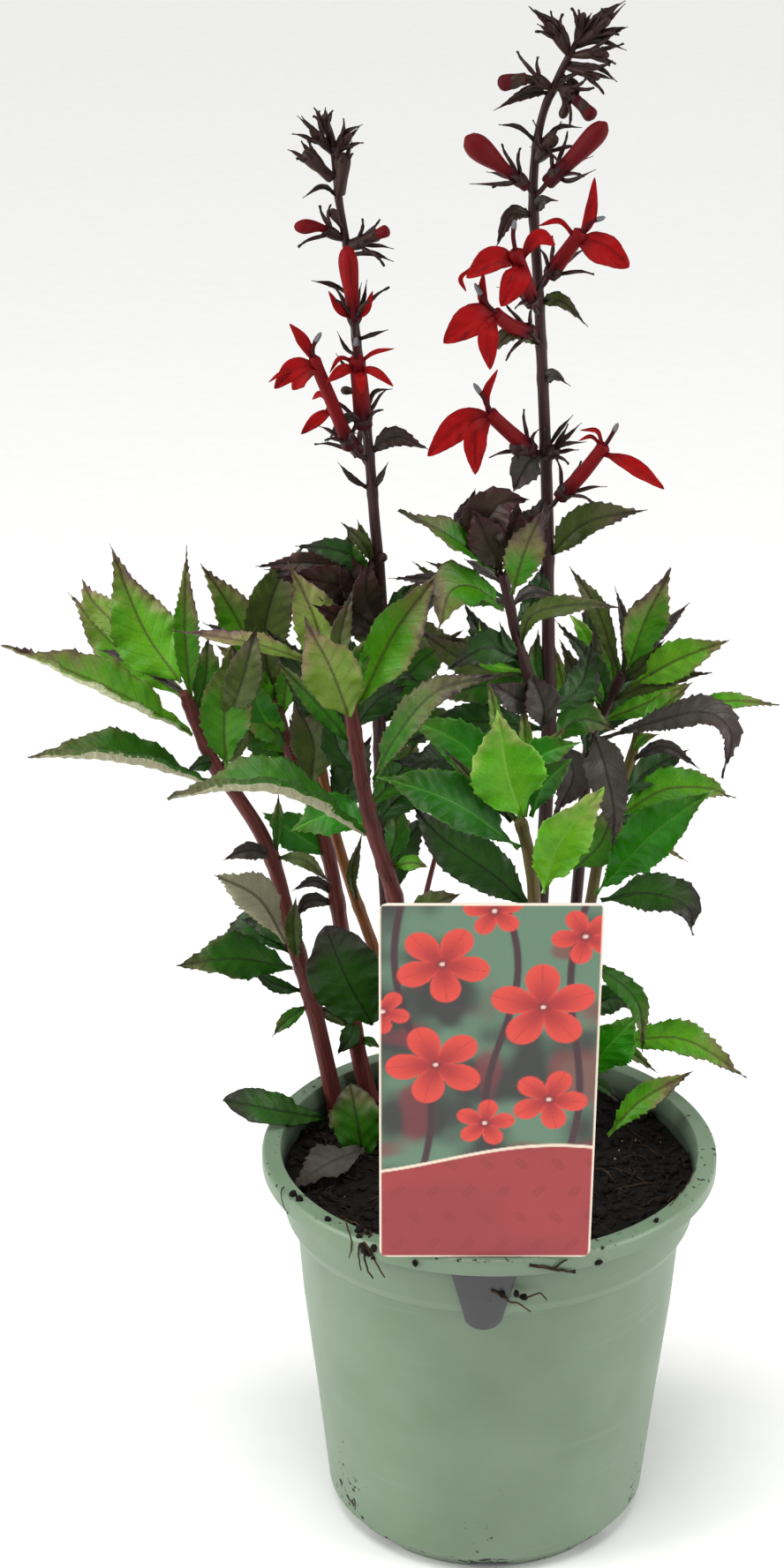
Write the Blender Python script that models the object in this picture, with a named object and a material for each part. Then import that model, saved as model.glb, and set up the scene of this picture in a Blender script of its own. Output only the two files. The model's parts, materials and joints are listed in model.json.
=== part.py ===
"""Potted fan scarlet lobelia, a bog plant in its nursery pot.

Metres, +Z up, front towards -Y. The pot's base is centred on the origin. The plant
is laid out from one viewpoint: a place is written (x, z, y) in millimetres, where
(x, z) is the spot at which its line of sight crosses the upright plane through the
pot's axis, and y is its depth behind that plane.
"""

import math

import bpy
from mathutils import Vector

MM = 0.001
GAP = 0.35
EYE = Vector((-38.5, -1200.0, 828.0))

RIM_RADIUS = 90.0
RIM_TOP = 160.6
SIDES_ROUND = 28
FOOT_RADIUS = 57.0
SOIL_CENTRE = 151.8
SOIL_EDGE = 149.6
SOIL_RADIUS = 80.2
NOTCHES = 8
NOTCH_SIZE = (15.0, 13.0, 5.0)
NOTCH_RADIUS = 60.9
NOTCH_HEIGHT = 1.5

LABEL_CENTRE_X = -3.9
LABEL_WIDTH = 78.5
LABEL_HEIGHT = 163.0
LABEL_THICKNESS = 0.7
LABEL_LEAN = math.radians(11.0)
LABEL_FOOT = Vector((LABEL_CENTRE_X, -87.0, RIM_TOP + 0.4))
LABEL_CORNER = 3.5
CORNER_STEPS = 3
TONGUE_TOP_WIDTH = 29.0
TONGUE_END_WIDTH = 15.0
TONGUE_LENGTH = 37.0
TONGUE_STEPS = 4
SLOT_SIZE = (32.0, 2.2, 12.0)

STEM_SIDES = 6
STALK_WIDTH = 2.0
PROFILE_SHARPNESS = 1.7
LEAF_STATIONS = 6
LEAF_THICKNESS = 1.0
SPRIG_STATIONS = 3
SPRIG_THICKNESS = 1.4
SPRIG_FOLD = 0.15
TUBE_RINGS = 4
TUBE_BASE_SHARE = 0.8
PETAL_STATIONS = 3
PETAL_THICKNESS = 1.2
PETAL_BELLY = 0.6
PETAL_FOLD = 0.1
PETAL_FACING = (0.1, -1.0, 0.5)

ROUGHNESS = 0.55

POT_OUTSIDE = (
    (82.6, RIM_TOP), (88.9, RIM_TOP), (RIM_RADIUS, 159.2),
    (RIM_RADIUS, 153.8), (88.8, 153.8), (88.7, 158.8), (83.2, 158.9),
    (82.3, 147.0), (81.2, 135.4), (79.0, 131.2), (76.5, 128.8),
    (74.0, 97.0), (68.8, 52.0), (64.2, 9.0), (FOOT_RADIUS, 0.0),
)
POT_INSIDE = (
    (56.2, 1.6), (62.8, 9.9), (75.1, 129.6), (77.9, 132.6),
    (79.9, 136.4), (81.4, 153.0),
)

COLOURS = {
    "pot": (0.24, 0.33, 0.25),
    "soil": (0.012, 0.010, 0.009),
    "card": (0.50, 0.03, 0.04),
    "stem": (0.11, 0.025, 0.03),
    "stem_dark": (0.035, 0.018, 0.020),
    "stem_olive": (0.16, 0.12, 0.05),
    "green": (0.09, 0.24, 0.02),
    "bright": (0.26, 0.46, 0.06),
    "pale": (0.33, 0.42, 0.14),
    "dark": (0.025, 0.07, 0.018),
    "olive": (0.10, 0.13, 0.05),
    "purple": (0.055, 0.035, 0.045),
    "dead": (0.12, 0.10, 0.09),
    "petal": (0.48, 0.010, 0.012),
}

# name: colour, radius at the soil, radius at the top, places from the soil up
STEMS = {
    "stem_left": ("stem", 3.1, 2.1, (
        (-60.2, 175.8, 46), (-68.5, 218, 46), (-76.7, 251, 45), (-85.4, 288, 42),
        (-96.8, 310, 38), (-106.2, 325, 35), (-116.4, 353, 32))),
    "stem_left_inner": ("stem", 3.2, 2.0, (
        (-47.5, 182, 58), (-52.7, 208, 58), (-57.9, 253, 56), (-60.7, 274, 54),
        (-65.4, 298, 52), (-71.6, 315, 50), (-78.1, 333, 48), (-83, 350, 46))),
    "stem_orange": ("stem_olive", 2.4, 1.9, (
        (-35.2, 186.2, 66), (-44.5, 240, 68), (-48.5, 255, 69), (-53.4, 271, 70),
        (-59.4, 292, 70), (-66, 325, 70))),
    "stem_front": ("stem", 3.2, 2.4, (
        (-24.9, 166.7, 26), (-31, 230, 20), (-37.5, 268, 14), (-41.8, 284, 10),
        (-45.6, 296, 8), (-49.4, 315, 5), (-53.4, 341, 1), (-55, 350, 0))),
    "flower_stem_left": ("stem_dark", 2.6, 0.9, (
        (-33.5, 173.4, 40), (-40, 250, 36), (-43.2, 336, 30), (-42.6, 388, 25),
        (-45, 422, 22), (-47.2, 451, 21), (-51.4, 490, 20), (-54.2, 520, 19),
        (-57.4, 542, 18), (-59.2, 560, 17), (-61.2, 568, 17))),
    "flower_stem_right": ("stem_dark", 2.8, 1.0, (
        (13.7, 170.8, 34), (18, 240, 30), (20.6, 335, 24), (19.8, 370, 20),
        (18.9, 411, 16), (17.5, 445, 12), (15.4, 482, 10), (13.4, 512, 8),
        (11.5, 540, 8), (12.2, 558, 8), (14.8, 572, 8), (20, 584.5, 8),
        (25.5, 596, 8))),
    "stem_centre": ("stem_olive", 2.6, 2.0, (
        (7.9, 161.4, 16), (13, 215, 4), (16.2, 264, -8), (14, 285, -14),
        (10.4, 301, -18))),
    "stem_right": ("stem_olive", 2.4, 1.5, (
        (29.7, 173.5, 40), (35, 240, 36), (39.6, 279, 32), (43.4, 295, 32),
        (47.6, 311, 32), (51.9, 326, 33), (55, 340, 34))),
    "shoot_by_flower_stem": ("stem_dark", 1.9, 1.6, (
        (17.5, 345, 8), (13, 359, 3), (8.8, 372, 1), (5.4, 387, 0),
        (2.4, 400, 0))),
    "shoot_right": ("stem_dark", 2.4, 1.7, (
        (25.9, 184.2, 62), (31, 240, 60), (34, 300, 56), (36, 332, 54),
        (41.4, 346, 51), (48, 361, 48))),
}

# name: colour, width, belly, facing, fold, places from the base to the tip
LEAVES = {
    "leaf_left_long": ("green", 21, 0.45, (0.25, -0.75, 0.75), 0.25, (
        (-113.5, 336, 31), (-147, 357, 14), (-182, 372, 4))),
    "leaf_left_upright": ("bright", 33, 0.37, (-0.1, -0.9, 0.5), 0.12, (
        (-117.5, 357, 36), (-131, 379, 46), (-142.5, 412, 52))),
    "leaf_left_behind": ("green", 15, 0.45, (-0.2, -0.9, 0.6), 0.15, (
        (-118, 352, 40), (-141, 371, 60), (-158.5, 393, 72))),
    "leaf_inner_across": ("pale", 9, 0.5, (0.2, -0.6, 0.9), 0.3, (
        (-66, 364, 18), (-90, 373, 20), (-119, 377, 24))),
    "leaf_left_round": ("pale", 19, 0.62, (0.1, -1.0, 0.35), 0.18, (
        (-101, 322, 28), (-101.5, 342, 22), (-103, 363, 18))),
    "leaf_left_low": ("dark", 18, 0.55, (0.1, -0.55, 0.85), 0.25, (
        (-107, 316, 32), (-142, 326, 22), (-176, 327, 18))),
    "leaf_front_long": ("green", 20, 0.5, (0.1, -0.6, 0.85), 0.28, (
        (-48.5, 295, 1), (-85, 315, -14), (-124, 310, -8))),
    "leaf_front_broad": ("pale", 24, 0.45, (-0.1, -1.0, 0.15), 0.10, (
        (-54.5, 345, -5), (-61.5, 363, -13), (-71.5, 383, -20))),
    "leaf_front_tall": ("bright", 18, 0.45, (0.1, -1.0, 0.4), 0.15, (
        (-60, 352, 8), (-67, 382, 14), (-77, 405, 18))),
    "leaf_front_right": ("bright", 22, 0.45, (0.3, -0.9, 0.5), 0.25, (
        (-51, 348, 4), (-39, 378, 8), (-19, 404, 6))),
    "leaf_purple_arch": ("purple", 13, 0.6, (-0.25, -0.8, 0.6), 0.15, (
        (-45.8, 315, 1), (-37, 333, -14), (-20, 352, -24), (-1, 361, -30))),
    "leaf_centre_long": ("green", 18, 0.55, (0.1, -0.75, 0.7), 0.18, (
        (10, 289, -18), (-15, 308, -32), (-44, 321, -38))),
    "leaf_centre_shade": ("dark", 18, 0.5, (0.1, -0.8, 0.6), 0.15, (
        (7, 300, -10), (-13, 323, 0), (-36, 331, 12))),
    "leaf_centre_bright": ("bright", 29, 0.55, (0.0, -1.0, 0.4), 0.12, (
        (9.5, 303, -23), (5, 321, -28), (0, 342, -32))),
    "leaf_centre_curl": ("bright", 15, 0.6, (-0.4, -0.9, 0.4), 0.2, (
        (14.5, 306, -20), (18, 321, -20), (29, 326, -22))),
    "leaf_pale_upright": ("pale", 25, 0.55, (0.25, -1.0, 0.2), 0.15, (
        (19.5, 270, -16), (27, 292, -24), (43, 313, -28))),
    "leaf_grey_hanging": ("purple", 12, 0.35, (-0.2, -1.0, 0.3), 0.15, (
        (38, 335, 32), (42, 323, 16), (46, 304, 8), (45.5, 286, 4))),
    "leaf_olive_round": ("dark", 19, 0.6, (0.1, -1.0, 0.3), 0.12, (
        (31, 280, 16), (41, 291, 18), (46, 307, 20))),
    "leaf_right_bright": ("bright", 19, 0.55, (0.35, -0.8, 0.7), 0.22, (
        (40, 270, 24), (60, 294, 2), (83, 313, -10))),
    "leaf_right_upper": ("green", 14, 0.4, (0.1, -0.8, 0.75), 0.2, (
        (48.5, 303, 34), (64, 312, 38), (80, 314, 40), (92, 310, 42))),
    "leaf_right_drooping": ("dark", 13, 0.5, (0.6, -0.9, 0.6), 0.2, (
        (42, 267, 30), (59, 270, 22), (74, 265, 14), (78, 252, 10))),
    "leaf_purple_hook": ("purple", 11, 0.55, (0.5, -0.9, 0.6), 0.2, (
        (40, 334, 47), (60, 340, 22), (79, 343, 8), (89, 335, 2),
        (86.5, 318, 2))),
    "leaf_shoot_right_tall": ("olive", 14, 0.5, (0.2, -1.0, 0.3), 0.2, (
        (49.5, 366, 45), (56.5, 384, 38), (65, 402, 34))),
    "leaf_shoot_right_side": ("bright", 12, 0.5, (0.2, -0.9, 0.6), 0.2, (
        (51.5, 358, 45), (70, 364, 38), (86, 374, 34))),
    "leaf_shoot_left_side": ("olive", 13, 0.5, (0.2, -0.6, 0.9), 0.25, (
        (-0.5, 401, -3), (-16, 414, -12), (-36, 425, -18))),
    "leaf_shoot_broad": ("green", 15, 0.6, (0.1, -1.0, 0.2), 0.2, (
        (6, 392, -4), (10, 408, -10), (17, 425, -12))),
    "leaf_shoot_bent": ("green", 12, 0.5, (0.7, -0.6, 1.0), 0.15, (
        (3, 386, -4), (-8, 394, -10), (-17, 391, -18), (-22, 378, -26))),
    "leaf_low_left": ("dark", 18, 0.5, (0.1, -0.65, 0.8), 0.2, (
        (-79, 240, 42), (-99, 246, 34), (-121, 240, 28))),
    "leaf_low_curled": ("olive", 16, 0.5, (0.5, -1.0, 0.1), 0.2, (
        (-80, 249, 34), (-90, 268, 20), (-107, 278, 8))),
    "leaf_obovate": ("dark", 25, 0.55, (0.1, -1.0, 0.3), 0.1, (
        (-51, 214, 24), (-55, 235, 12), (-60, 254, 6))),
    "leaf_soil_left": ("green", 15, 0.62, (0.1, -0.7, 0.8), 0.15, (
        (-65, 171.5, 36), (-84, 180, 18), (-104, 178, 12))),
    "leaf_soil_front": ("green", 15, 0.6, (0.0, -1.0, 0.3), 0.2, (
        (-50, 161, 10), (-49, 173, 8), (-50, 187, 12))),
    "leaf_dead": ("dead", 11, 0.55, (0.1, -0.5, 0.9), 0.2, (
        (-54, 159, 12), (-64, 155, 2), (-74, 149, -12))),
    "leaf_low_right": ("bright", 19, 0.5, (0.1, -0.9, 0.4), 0.15, (
        (38, 192, 20), (47, 205, 10), (57, 217, 6))),
    "leaf_low_right_long": ("green", 13, 0.5, (0.1, -0.7, 0.8), 0.2, (
        (47, 205, 42), (75, 207, 40), (99, 193, 36))),
    "leaf_soil_right": ("bright", 11, 0.55, (-0.3, -0.9, 0.5), 0.25, (
        (47, 164, 14), (60, 180, 16), (80, 193, 18))),
}

# stem name: small leaves, bracts and buds that are one piece with it
SPRIGS = {
    "stem_left": (
        (7, 0.5, (0, -1, 0.4), (-83, 285, 42), (-93, 288, 34), (-103, 284, 30)),
        (6, 0.5, (0, -1, 0.6), (-83, 285, 42), (-72, 284, 36), (-62, 274, 32)),
        (5, 0.5, (0.3, -1, 0), (-83, 286, 42), (-82, 300, 38), (-81.5, 311, 36)),
        (7, 0.5, (0, -1, 0.2), (-75, 238, 45), (-76.5, 256, 36), (-75.5, 268, 34)),
        (6, 0.5, (0, -1, 0.4), (-71, 222, 46), (-79, 216, 40), (-85.5, 208, 38)),
        (13, 0.4, (0, -0.8, 0.7), (-76, 243, 45), (-92, 256, 54), (-104, 250, 60)),
        (8, 0.5, (0.4, -1, 0.2), (-114, 350, 32), (-115, 386, 26), (-114, 410, 24)),
    ),
    "stem_left_inner": (
        (6, 0.5, (0, -1, 0.4), (-59.5, 265, 55), (-70, 267, 50), (-76, 259, 48)),
        (13, 0.5, (0.1, -1, 0.5), (-82.6, 348.5, 46), (-98, 386, 44), (-109, 403, 40)),
        (13, 0.5, (0, -1, 0.3), (-82, 347, 46), (-89, 358, 44), (-90, 371, 42)),
        (11, 0.5, (0, -1, 0.3), (-81.4, 345, 46), (-78, 360, 40), (-79, 374, 38)),
    ),
    "stem_orange": (
        (5, 0.6, (0.3, -1, 0.2), (-51.2, 264, 69.5), (-54, 278, 62), (-50, 294, 60)),
        (9, 0.5, (0, -1, 0.2), (-65, 320, 70), (-73, 330, 62), (-76, 342, 58)),
    ),
    "stem_front": (
        (8, 0.5, (-0.4, -0.8, 0.4), (-51.8, 331, 2.5), (-66, 350, 10), (-82, 366, 16)),
    ),
    "flower_stem_left": (
        (14, 0.5, (0, -0.9, 0.5), (-43.5, 392, 24), (-65, 399, 34), (-85, 402, 40)),
        (10, 0.5, (0, -0.9, 0.5), (-43.5, 388, 24), (-55, 402, 14), (-74, 411, 10)),
        (6, 0.5, (0.3, -1, 0), (-44, 402, 24), (-49, 414, 16), (-40, 428, 14)),
        (6, 0.5, (0, -1, 0), (-44, 400, 24), (-54, 410, 18), (-61, 421, 16)),
        (7, 0.5, (0, -1, 0.3), (-46.6, 446, 21), (-38, 453, 18), (-27, 448, 14)),
        (3, 0.5, (0, -1, 0.3), (-46.6, 433, 22), (-53, 437, 18), (-58, 443, 16)),
        (3, 0.5, (0, -1, 0.3), (-46, 432, 22), (-43, 437, 18), (-40, 443, 16)),
        (3, 0.5, (0, -1, 0.6), (-51.6, 489, 20), (-46, 491, 17), (-40, 493, 15)),
        (4, 0.5, (0, -1, 0.6), (-54.8, 520, 19), (-46, 521, 15), (-39, 518, 12)),
        (3, 0.5, (0, -1, 0.6), (-53.5, 506, 19), (-60, 510, 15), (-67, 511, 12)),
        (3, 0.5, (0, -1, 0.6), (-57, 541, 18), (-63, 545, 15), (-70, 541, 12)),
        (5, 0.6, (0, -1, 0.2), (-55.3, 524, 19), (-64, 529, 14), (-73, 531, 11)),
        (5, 0.6, (0, -1, 0.2), (-55.3, 522, 19), (-47, 526, 15), (-40.5, 529, 12)),
        (6, 0.6, (0, -1, 0.2), (-57.8, 546, 18), (-66, 554, 13), (-71, 559, 11)),
        (6, 0.6, (0.2, -1, 0), (-57.3, 543, 18), (-56, 550, 12), (-55.5, 558, 11)),
        (6, 0.5, (0, -1, 0.3), (-60, 560, 17), (-66, 565, 12), (-71.5, 570, 9)),
        (6, 0.5, (0, -1, 0.3), (-59.6, 558.6, 17.2), (-55, 563, 13), (-49, 567, 10)),
        (6, 0.5, (0, -1, 0), (-61.3, 564, 17), (-63, 569, 14), (-62.5, 575, 13)),
    ),
    "flower_stem_right": (
        (9, 0.5, (0, -0.8, 0.5), (18.8, 408, 16), (33, 419, 8), (54, 425, 2)),
        (9, 0.5, (0, -1, 0.1), (17.6, 441, 12), (11, 440, 6), (4.5, 437, 3)),
        (7, 0.5, (0, -1, 0.5), (14.8, 488, 10), (4, 491, -2), (-2, 485, -6)),
        (5, 0.5, (0, -1, 0.5), (14.2, 503, 9), (22, 503, 5), (32, 495, 2)),
        (4, 0.5, (0, -1, 0.5), (15.6, 474, 10), (20, 475, 7), (25, 472, 6)),
        (4, 0.5, (0, -1, 0.3), (12.4, 534, 8), (3, 534, 4), (-2, 523, 2)),
        (4, 0.5, (0, -1, 0.3), (12, 538, 8), (15, 540, 5), (18, 540, 3)),
        (4, 0.5, (0, -1, 0.3), (16.6, 444, 12), (24, 450, 6), (31, 458, 2)),
        (7, 0.6, (0, -1, 0.2), (12.4, 553, 8), (17, 560, 2), (21, 561, -2)),
        (7, 0.6, (0, -1, 0.2), (16, 574, 8), (8, 580, 3), (0, 582, 0)),
        (7, 0.6, (0, -1, 0.2), (18, 580, 8.3), (25, 577, 3), (31.5, 570, 0)),
        (5, 0.6, (0, -1, 0.2), (20, 583, 8), (16, 586, 4), (10, 585, 3)),
        (8, 0.5, (0, -1, 0.4), (23, 591, 8), (20, 601, 3), (11, 607, 0)),
        (8, 0.5, (0, -1, 0.2), (22.5, 588.5, 8), (33, 590, 3), (42, 586, 0)),
        (8, 0.5, (0, -1, 0.2), (25, 594, 8), (34, 598, 4), (43, 593, 2)),
        (6, 0.5, (0, -1, 0.2), (25.5, 595, 8), (35, 602, 4), (42, 609, 2)),
        (4, 0.5, (0, -1, 0), (25.6, 595, 8), (29, 602, 5), (31, 607, 4)),
        (4, 0.5, (0.4, -1, 0), (22.5, 589, 8), (25.5, 584, 4), (24, 579, 3)),
    ),
    "stem_centre": (
        (7, 0.5, (0.2, -1, 0.2), (10.8, 299, -18), (12, 325, 0), (10, 355, 4)),
        (7, 0.5, (0, -1, 0.3), (11.1, 297.5, -17.6), (19, 330, -4), (33, 337, -6)),
    ),
    "stem_right": (
        (6, 0.5, (0, -0.8, 0.6), (51.5, 325, 33), (64, 330, 24), (78, 322, 18)),
        (7, 0.5, (0, -0.8, 0.6), (54.6, 338, 34), (85, 345, 38), (106, 348, 44)),
        (12, 0.5, (0, -1, 0.4), (33, 216, 38), (47, 225, 32), (58, 222, 28)),
        (9, 0.45, (0.2, -1, 0.1), (35.3, 243, 36), (56, 225, 18), (60, 201, 14)),
    ),
    "shoot_by_flower_stem": (
        (8, 0.5, (0, -0.8, 0.6), (9, 371, 1), (14, 384, -6), (30, 387, -10),
         (46, 387, -12)),
        (5, 0.5, (0, -0.8, 0.6), (5.4, 387, 0), (12, 392, 8), (24, 390, 10)),
        (4, 0.5, (0.3, -1, 0), (9.8, 368, 1), (5, 372, -4), (1.5, 381, -6)),
        (12, 0.6, (0, -1, 0.4), (2.4, 398, 0), (-3, 412, 6), (-8, 431, 10)),
        (12, 0.6, (0, -1, 0.4), (2.8, 396.5, 0.3), (4, 414, 10), (6, 432, 14)),
    ),
    "shoot_right": (
        (8, 0.5, (0.1, -1, 0.3), (47, 358, 49), (40, 384, 56), (28, 402, 60)),
        (8, 0.5, (0.1, -1, 0.3), (41.4, 346, 51), (34, 367, 40), (22, 382, 34)),
        (10, 0.5, (0, -1, 0.3), (36.4, 333, 54), (29, 352, 60), (24, 373, 64)),
        (9, 0.5, (0, -1, 0.3), (41, 345, 51), (43, 362, 60), (38, 379, 66)),
        (8, 0.5, (0, -0.9, 0.6), (42.8, 349, 50), (62, 356, 40), (80, 361, 34)),
        (11, 0.5, (0, -0.9, 0.5), (39.4, 341, 52), (60, 349, 58), (74, 357, 62)),
        (6, 0.5, (0, -1, 0.2), (45.8, 356, 49), (60, 365, 52), (64, 373, 54)),
        (6, 0.5, (0, -1, 0.2), (47.6, 360, 48), (49, 376, 54), (45, 393, 56)),
        (6, 0.5, (0, -1, 0.2), (47.6, 360.5, 48), (62, 378, 54), (72, 389, 58)),
        (5, 0.5, (0, -1, 0.2), (35.5, 326, 54), (34, 340, 44), (33, 349, 42)),
    ),
}

# name: tube radius, places along the tube, then petals (width, places)
FLOWERS = {
    "flower_left_side_view": (2.0, ((-54, 449, 12), (-59, 463, 6), (-66.5, 481, 0)), (
        (5, (-66, 480, 0), (-69, 489, -1), (-75, 495, -3)),
        (8, (-65, 478, 0), (-72, 479, -3), (-80.5, 471, -6)),
        (6, (-65, 478, 0), (-72, 475, 4), (-74, 472, 6)),
    )),
    "flower_left_low": (2.0, ((-50, 446, 30), (-56, 456, 34), (-61, 465, 36)), (
        (5, (-60, 463, 36), (-65, 459, 33), (-71.5, 454, 30)),
        (3, (-60, 464, 36), (-64, 469, 37), (-67.5, 468, 38)),
    )),
    "flower_left_front": (2.6, ((-49, 457, 13), (-50, 470, 9), (-51.3, 486, 6)), (
        (2, (-51, 480, 7), (-45, 484, 4), (-38, 486, 2)),
        (2, (-51, 480, 7), (-57, 482, 4), (-61, 477, 2)),
        (5, (-51, 478, 7), (-56, 477, 1), (-61.5, 474, -2)),
        (4, (-51, 478, 7), (-45, 477, 2), (-38.5, 472.5, 0)),
        (5, (-51, 478, 7), (-50, 476, -2), (-50, 472, -4)),
    )),
    "flower_left_closed": (2.9, ((-51.8, 496, 12), (-53.5, 508, 9), (-55, 523, 8)), (
        (3, (-52, 497, 12), (-57, 500, 8), (-61, 506, 7)),
        (3, (-52, 497, 12), (-48, 500, 8), (-45.5, 505.5, 7)),
    )),
    "flower_right_side_view": (2.4, ((18, 513, 3), (22, 519, 0), (29, 527, -4)), (
        (4.5, (28, 525, -4), (32, 534, -5), (33, 545, -6)),
        (10, (27, 524, -4), (34, 521, -7), (44.5, 516.5, -10)),
        (2.5, (27, 525, -4), (21, 532, -2), (14, 531, -1)),
    )),
    "flower_right_front": (2.4, ((11.5, 503, 2), (9, 511, -6), (5, 526, -12)), (
        (7, (6.5, 518, -10), (-3, 519, -14), (-11, 512, -16)),
        (9, (7, 517, -10), (6, 512, -18), (2, 503, -20)),
        (6, (7, 518, -10), (13, 526, -12), (19, 525, -14)),
    )),
    "flower_right_middle": (2.2, ((11.5, 492, 2), (5, 494, -6), (-2, 499, -12)), (
        (4, (-1, 498, -12), (-6, 504, -13), (-6, 513, -14)),
        (10, (-1, 497, -12), (-9, 496, -17), (-18.5, 489, -20)),
        (8, (-1, 497, -12), (-4, 490, -20), (-3.5, 479, -21)),
    )),
    "flower_right_spread": (2.4, ((12, 448, 8), (5, 454, 2), (-3.5, 462, -2)), (
        (3.5, (-3, 461, -2), (-4, 469, -3), (-1, 477, -4)),
        (9, (-2, 460, -2), (-13, 457, -6), (-24, 446.5, -10)),
        (9, (-2, 460, -2), (-8, 452, -9), (-8, 439.5, -10)),
    )),
    "flower_right_low": (2.4, ((23, 430, 5), (31, 439, 0), (38.5, 450, -4)), (
        (6, (37.5, 447, -4), (49, 441, -7), (60, 433.5, -10)),
        (2, (38, 449, -4), (41, 454, -5), (43.5, 457, -6)),
        (2, (38, 449, -4), (35, 453, -6), (30, 455.5, -8)),
    )),
    "bud_right_left_side": (2.6, ((9, 546, 3), (-1, 554, -2), (-12, 560, -6)), (
        (4, (7, 548, 2), (2, 546, -4), (-11, 546, -8)),
    )),
    "bud_right_right_side": (2.8, ((17, 547, 2), (26, 557, -4), (36, 566, -9)), (
        (3, (19, 549, 1), (24, 547, -3), (33, 551, -8)),
    )),
}


def seen(place):
    """The point, in metres, of a place written (x, z, y)."""
    x, z, depth = place
    reach = 1.0 - depth / EYE.y
    flat = Vector((x, 0.0, z))
    return (EYE + (flat - EYE) * reach) * MM


def clear_scene():
    for old in list(bpy.data.objects):
        bpy.data.objects.remove(old, do_unlink=True)


def material(name):
    """A Principled material with the colour kept under this name."""
    found = bpy.data.materials.get(name)
    if found:
        return found
    made = bpy.data.materials.new(name)
    made.use_nodes = True
    shader = made.node_tree.nodes["Principled BSDF"]
    shader.inputs["Base Color"].default_value = (*COLOURS[name], 1.0)
    shader.inputs["Roughness"].default_value = ROUGHNESS
    shader.inputs["Metallic"].default_value = 0.0
    return made


def add_object(name, points, faces, colour, place=Vector((0.0, 0.0, 0.0))):
    """A mesh object whose origin is at place."""
    mesh = bpy.data.meshes.new(name)
    mesh.from_pydata([tuple(point - place) for point in points], [], faces)
    mesh.materials.append(material(colour))
    made = bpy.data.objects.new(name, mesh)
    made.location = place
    bpy.context.scene.collection.objects.link(made)
    return made


def add_helper(name, points, faces, colour, group):
    """A piece that a Boolean of another object uses."""
    helper = add_object(name, points, faces, colour)
    bpy.context.scene.collection.objects.unlink(helper)
    group.objects.link(helper)
    helper.hide_render = True
    helper.display_type = "WIRE"
    return helper


def helper_group(name):
    group = bpy.data.collections.new(name)
    bpy.context.scene.collection.children.link(group)
    return group


def boolean(made, operation, group):
    modifier = made.modifiers.new(operation.title(), "BOOLEAN")
    modifier.operation = operation
    modifier.operand_type = "COLLECTION"
    modifier.collection = group
    modifier.solver = "EXACT"


def path(places, count):
    """Points spaced along a smooth curve through the places."""
    fixed = [seen(place) for place in places]
    ends = [2 * fixed[0] - fixed[1], *fixed, 2 * fixed[-1] - fixed[-2]]
    found = []
    for index in range(count):
        along = index / (count - 1) * (len(fixed) - 1)
        piece = min(int(along), len(fixed) - 2)
        t = along - piece
        a, b, c, d = ends[piece:piece + 4]
        found.append(0.5 * (
            2 * b + (c - a) * t
            + (2 * a - 5 * b + 4 * c - d) * t ** 2
            + (3 * b - a - 3 * c + d) * t ** 3
        ))
    return found


def directions(points):
    """The unit direction of a path at each of its points."""
    last = len(points) - 1
    return [
        (points[min(i + 1, last)] - points[max(i - 1, 0)]).normalized()
        for i in range(last + 1)
    ]


def loft(rings, tip=None):
    """Points and faces of a closed skin over rings of equal length."""
    sides = len(rings[0])
    points = [point for ring in rings for point in ring]
    faces = [tuple(reversed(range(sides)))]
    for level in range(len(rings) - 1):
        for side in range(sides):
            low = level * sides + side
            low_next = level * sides + (side + 1) % sides
            faces.append((low, low_next, low_next + sides, low + sides))
    top = (len(rings) - 1) * sides
    if tip is None:
        faces.append(tuple(range(top, top + sides)))
    else:
        points.append(tip)
        end = len(points) - 1
        for side in range(sides):
            faces.append((top + side, top + (side + 1) % sides, end))
    return points, faces


def stem_skin(places, first, last, count):
    """A round stem along the places, its radius going from first to last."""
    points = path(places, count)
    rings = []
    for index, (point, ahead) in enumerate(zip(points, directions(points))):
        radius = (first + (last - first) * index / (count - 1)) * MM
        across = ahead.cross(Vector((0.0, 1.0, 0.0))).normalized()
        over = across.cross(ahead)
        rings.append([
            point + radius * (math.cos(turn) * across - math.sin(turn) * over)
            for turn in (math.tau * side / STEM_SIDES for side in range(STEM_SIDES))
        ])
    return loft(rings)


def blade_skin(places, width, belly, facing, fold, stations, thickness):
    """A leaf with a ridge along its middle, two thin edges and a pointed tip.

    The width is greatest at the share belly of its length and its two halves rise
    from the middle by fold times their width.
    """
    points = path(places, stations + 1)
    ahead = directions(points)
    rise = belly * PROFILE_SHARPNESS
    drop = (1.0 - belly) * PROFILE_SHARPNESS
    peak = belly ** rise * (1.0 - belly) ** drop
    stalk = min(STALK_WIDTH, 0.5 * width)
    rings = []
    for index in range(stations):
        t = index / stations
        half = 0.5 * width * t ** rise * (1.0 - t) ** drop / peak
        half = max(half, 0.5 * stalk) * MM
        across = ahead[index].cross(Vector(facing)).normalized()
        upper = across.cross(ahead[index])
        lift = upper * half * fold
        thick = upper * 0.5 * thickness * MM
        middle = points[index]
        rings.append([
            middle + across * half + lift,
            middle - thick,
            middle - across * half + lift,
            middle + thick,
        ])
    return loft(rings, points[-1])


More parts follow.
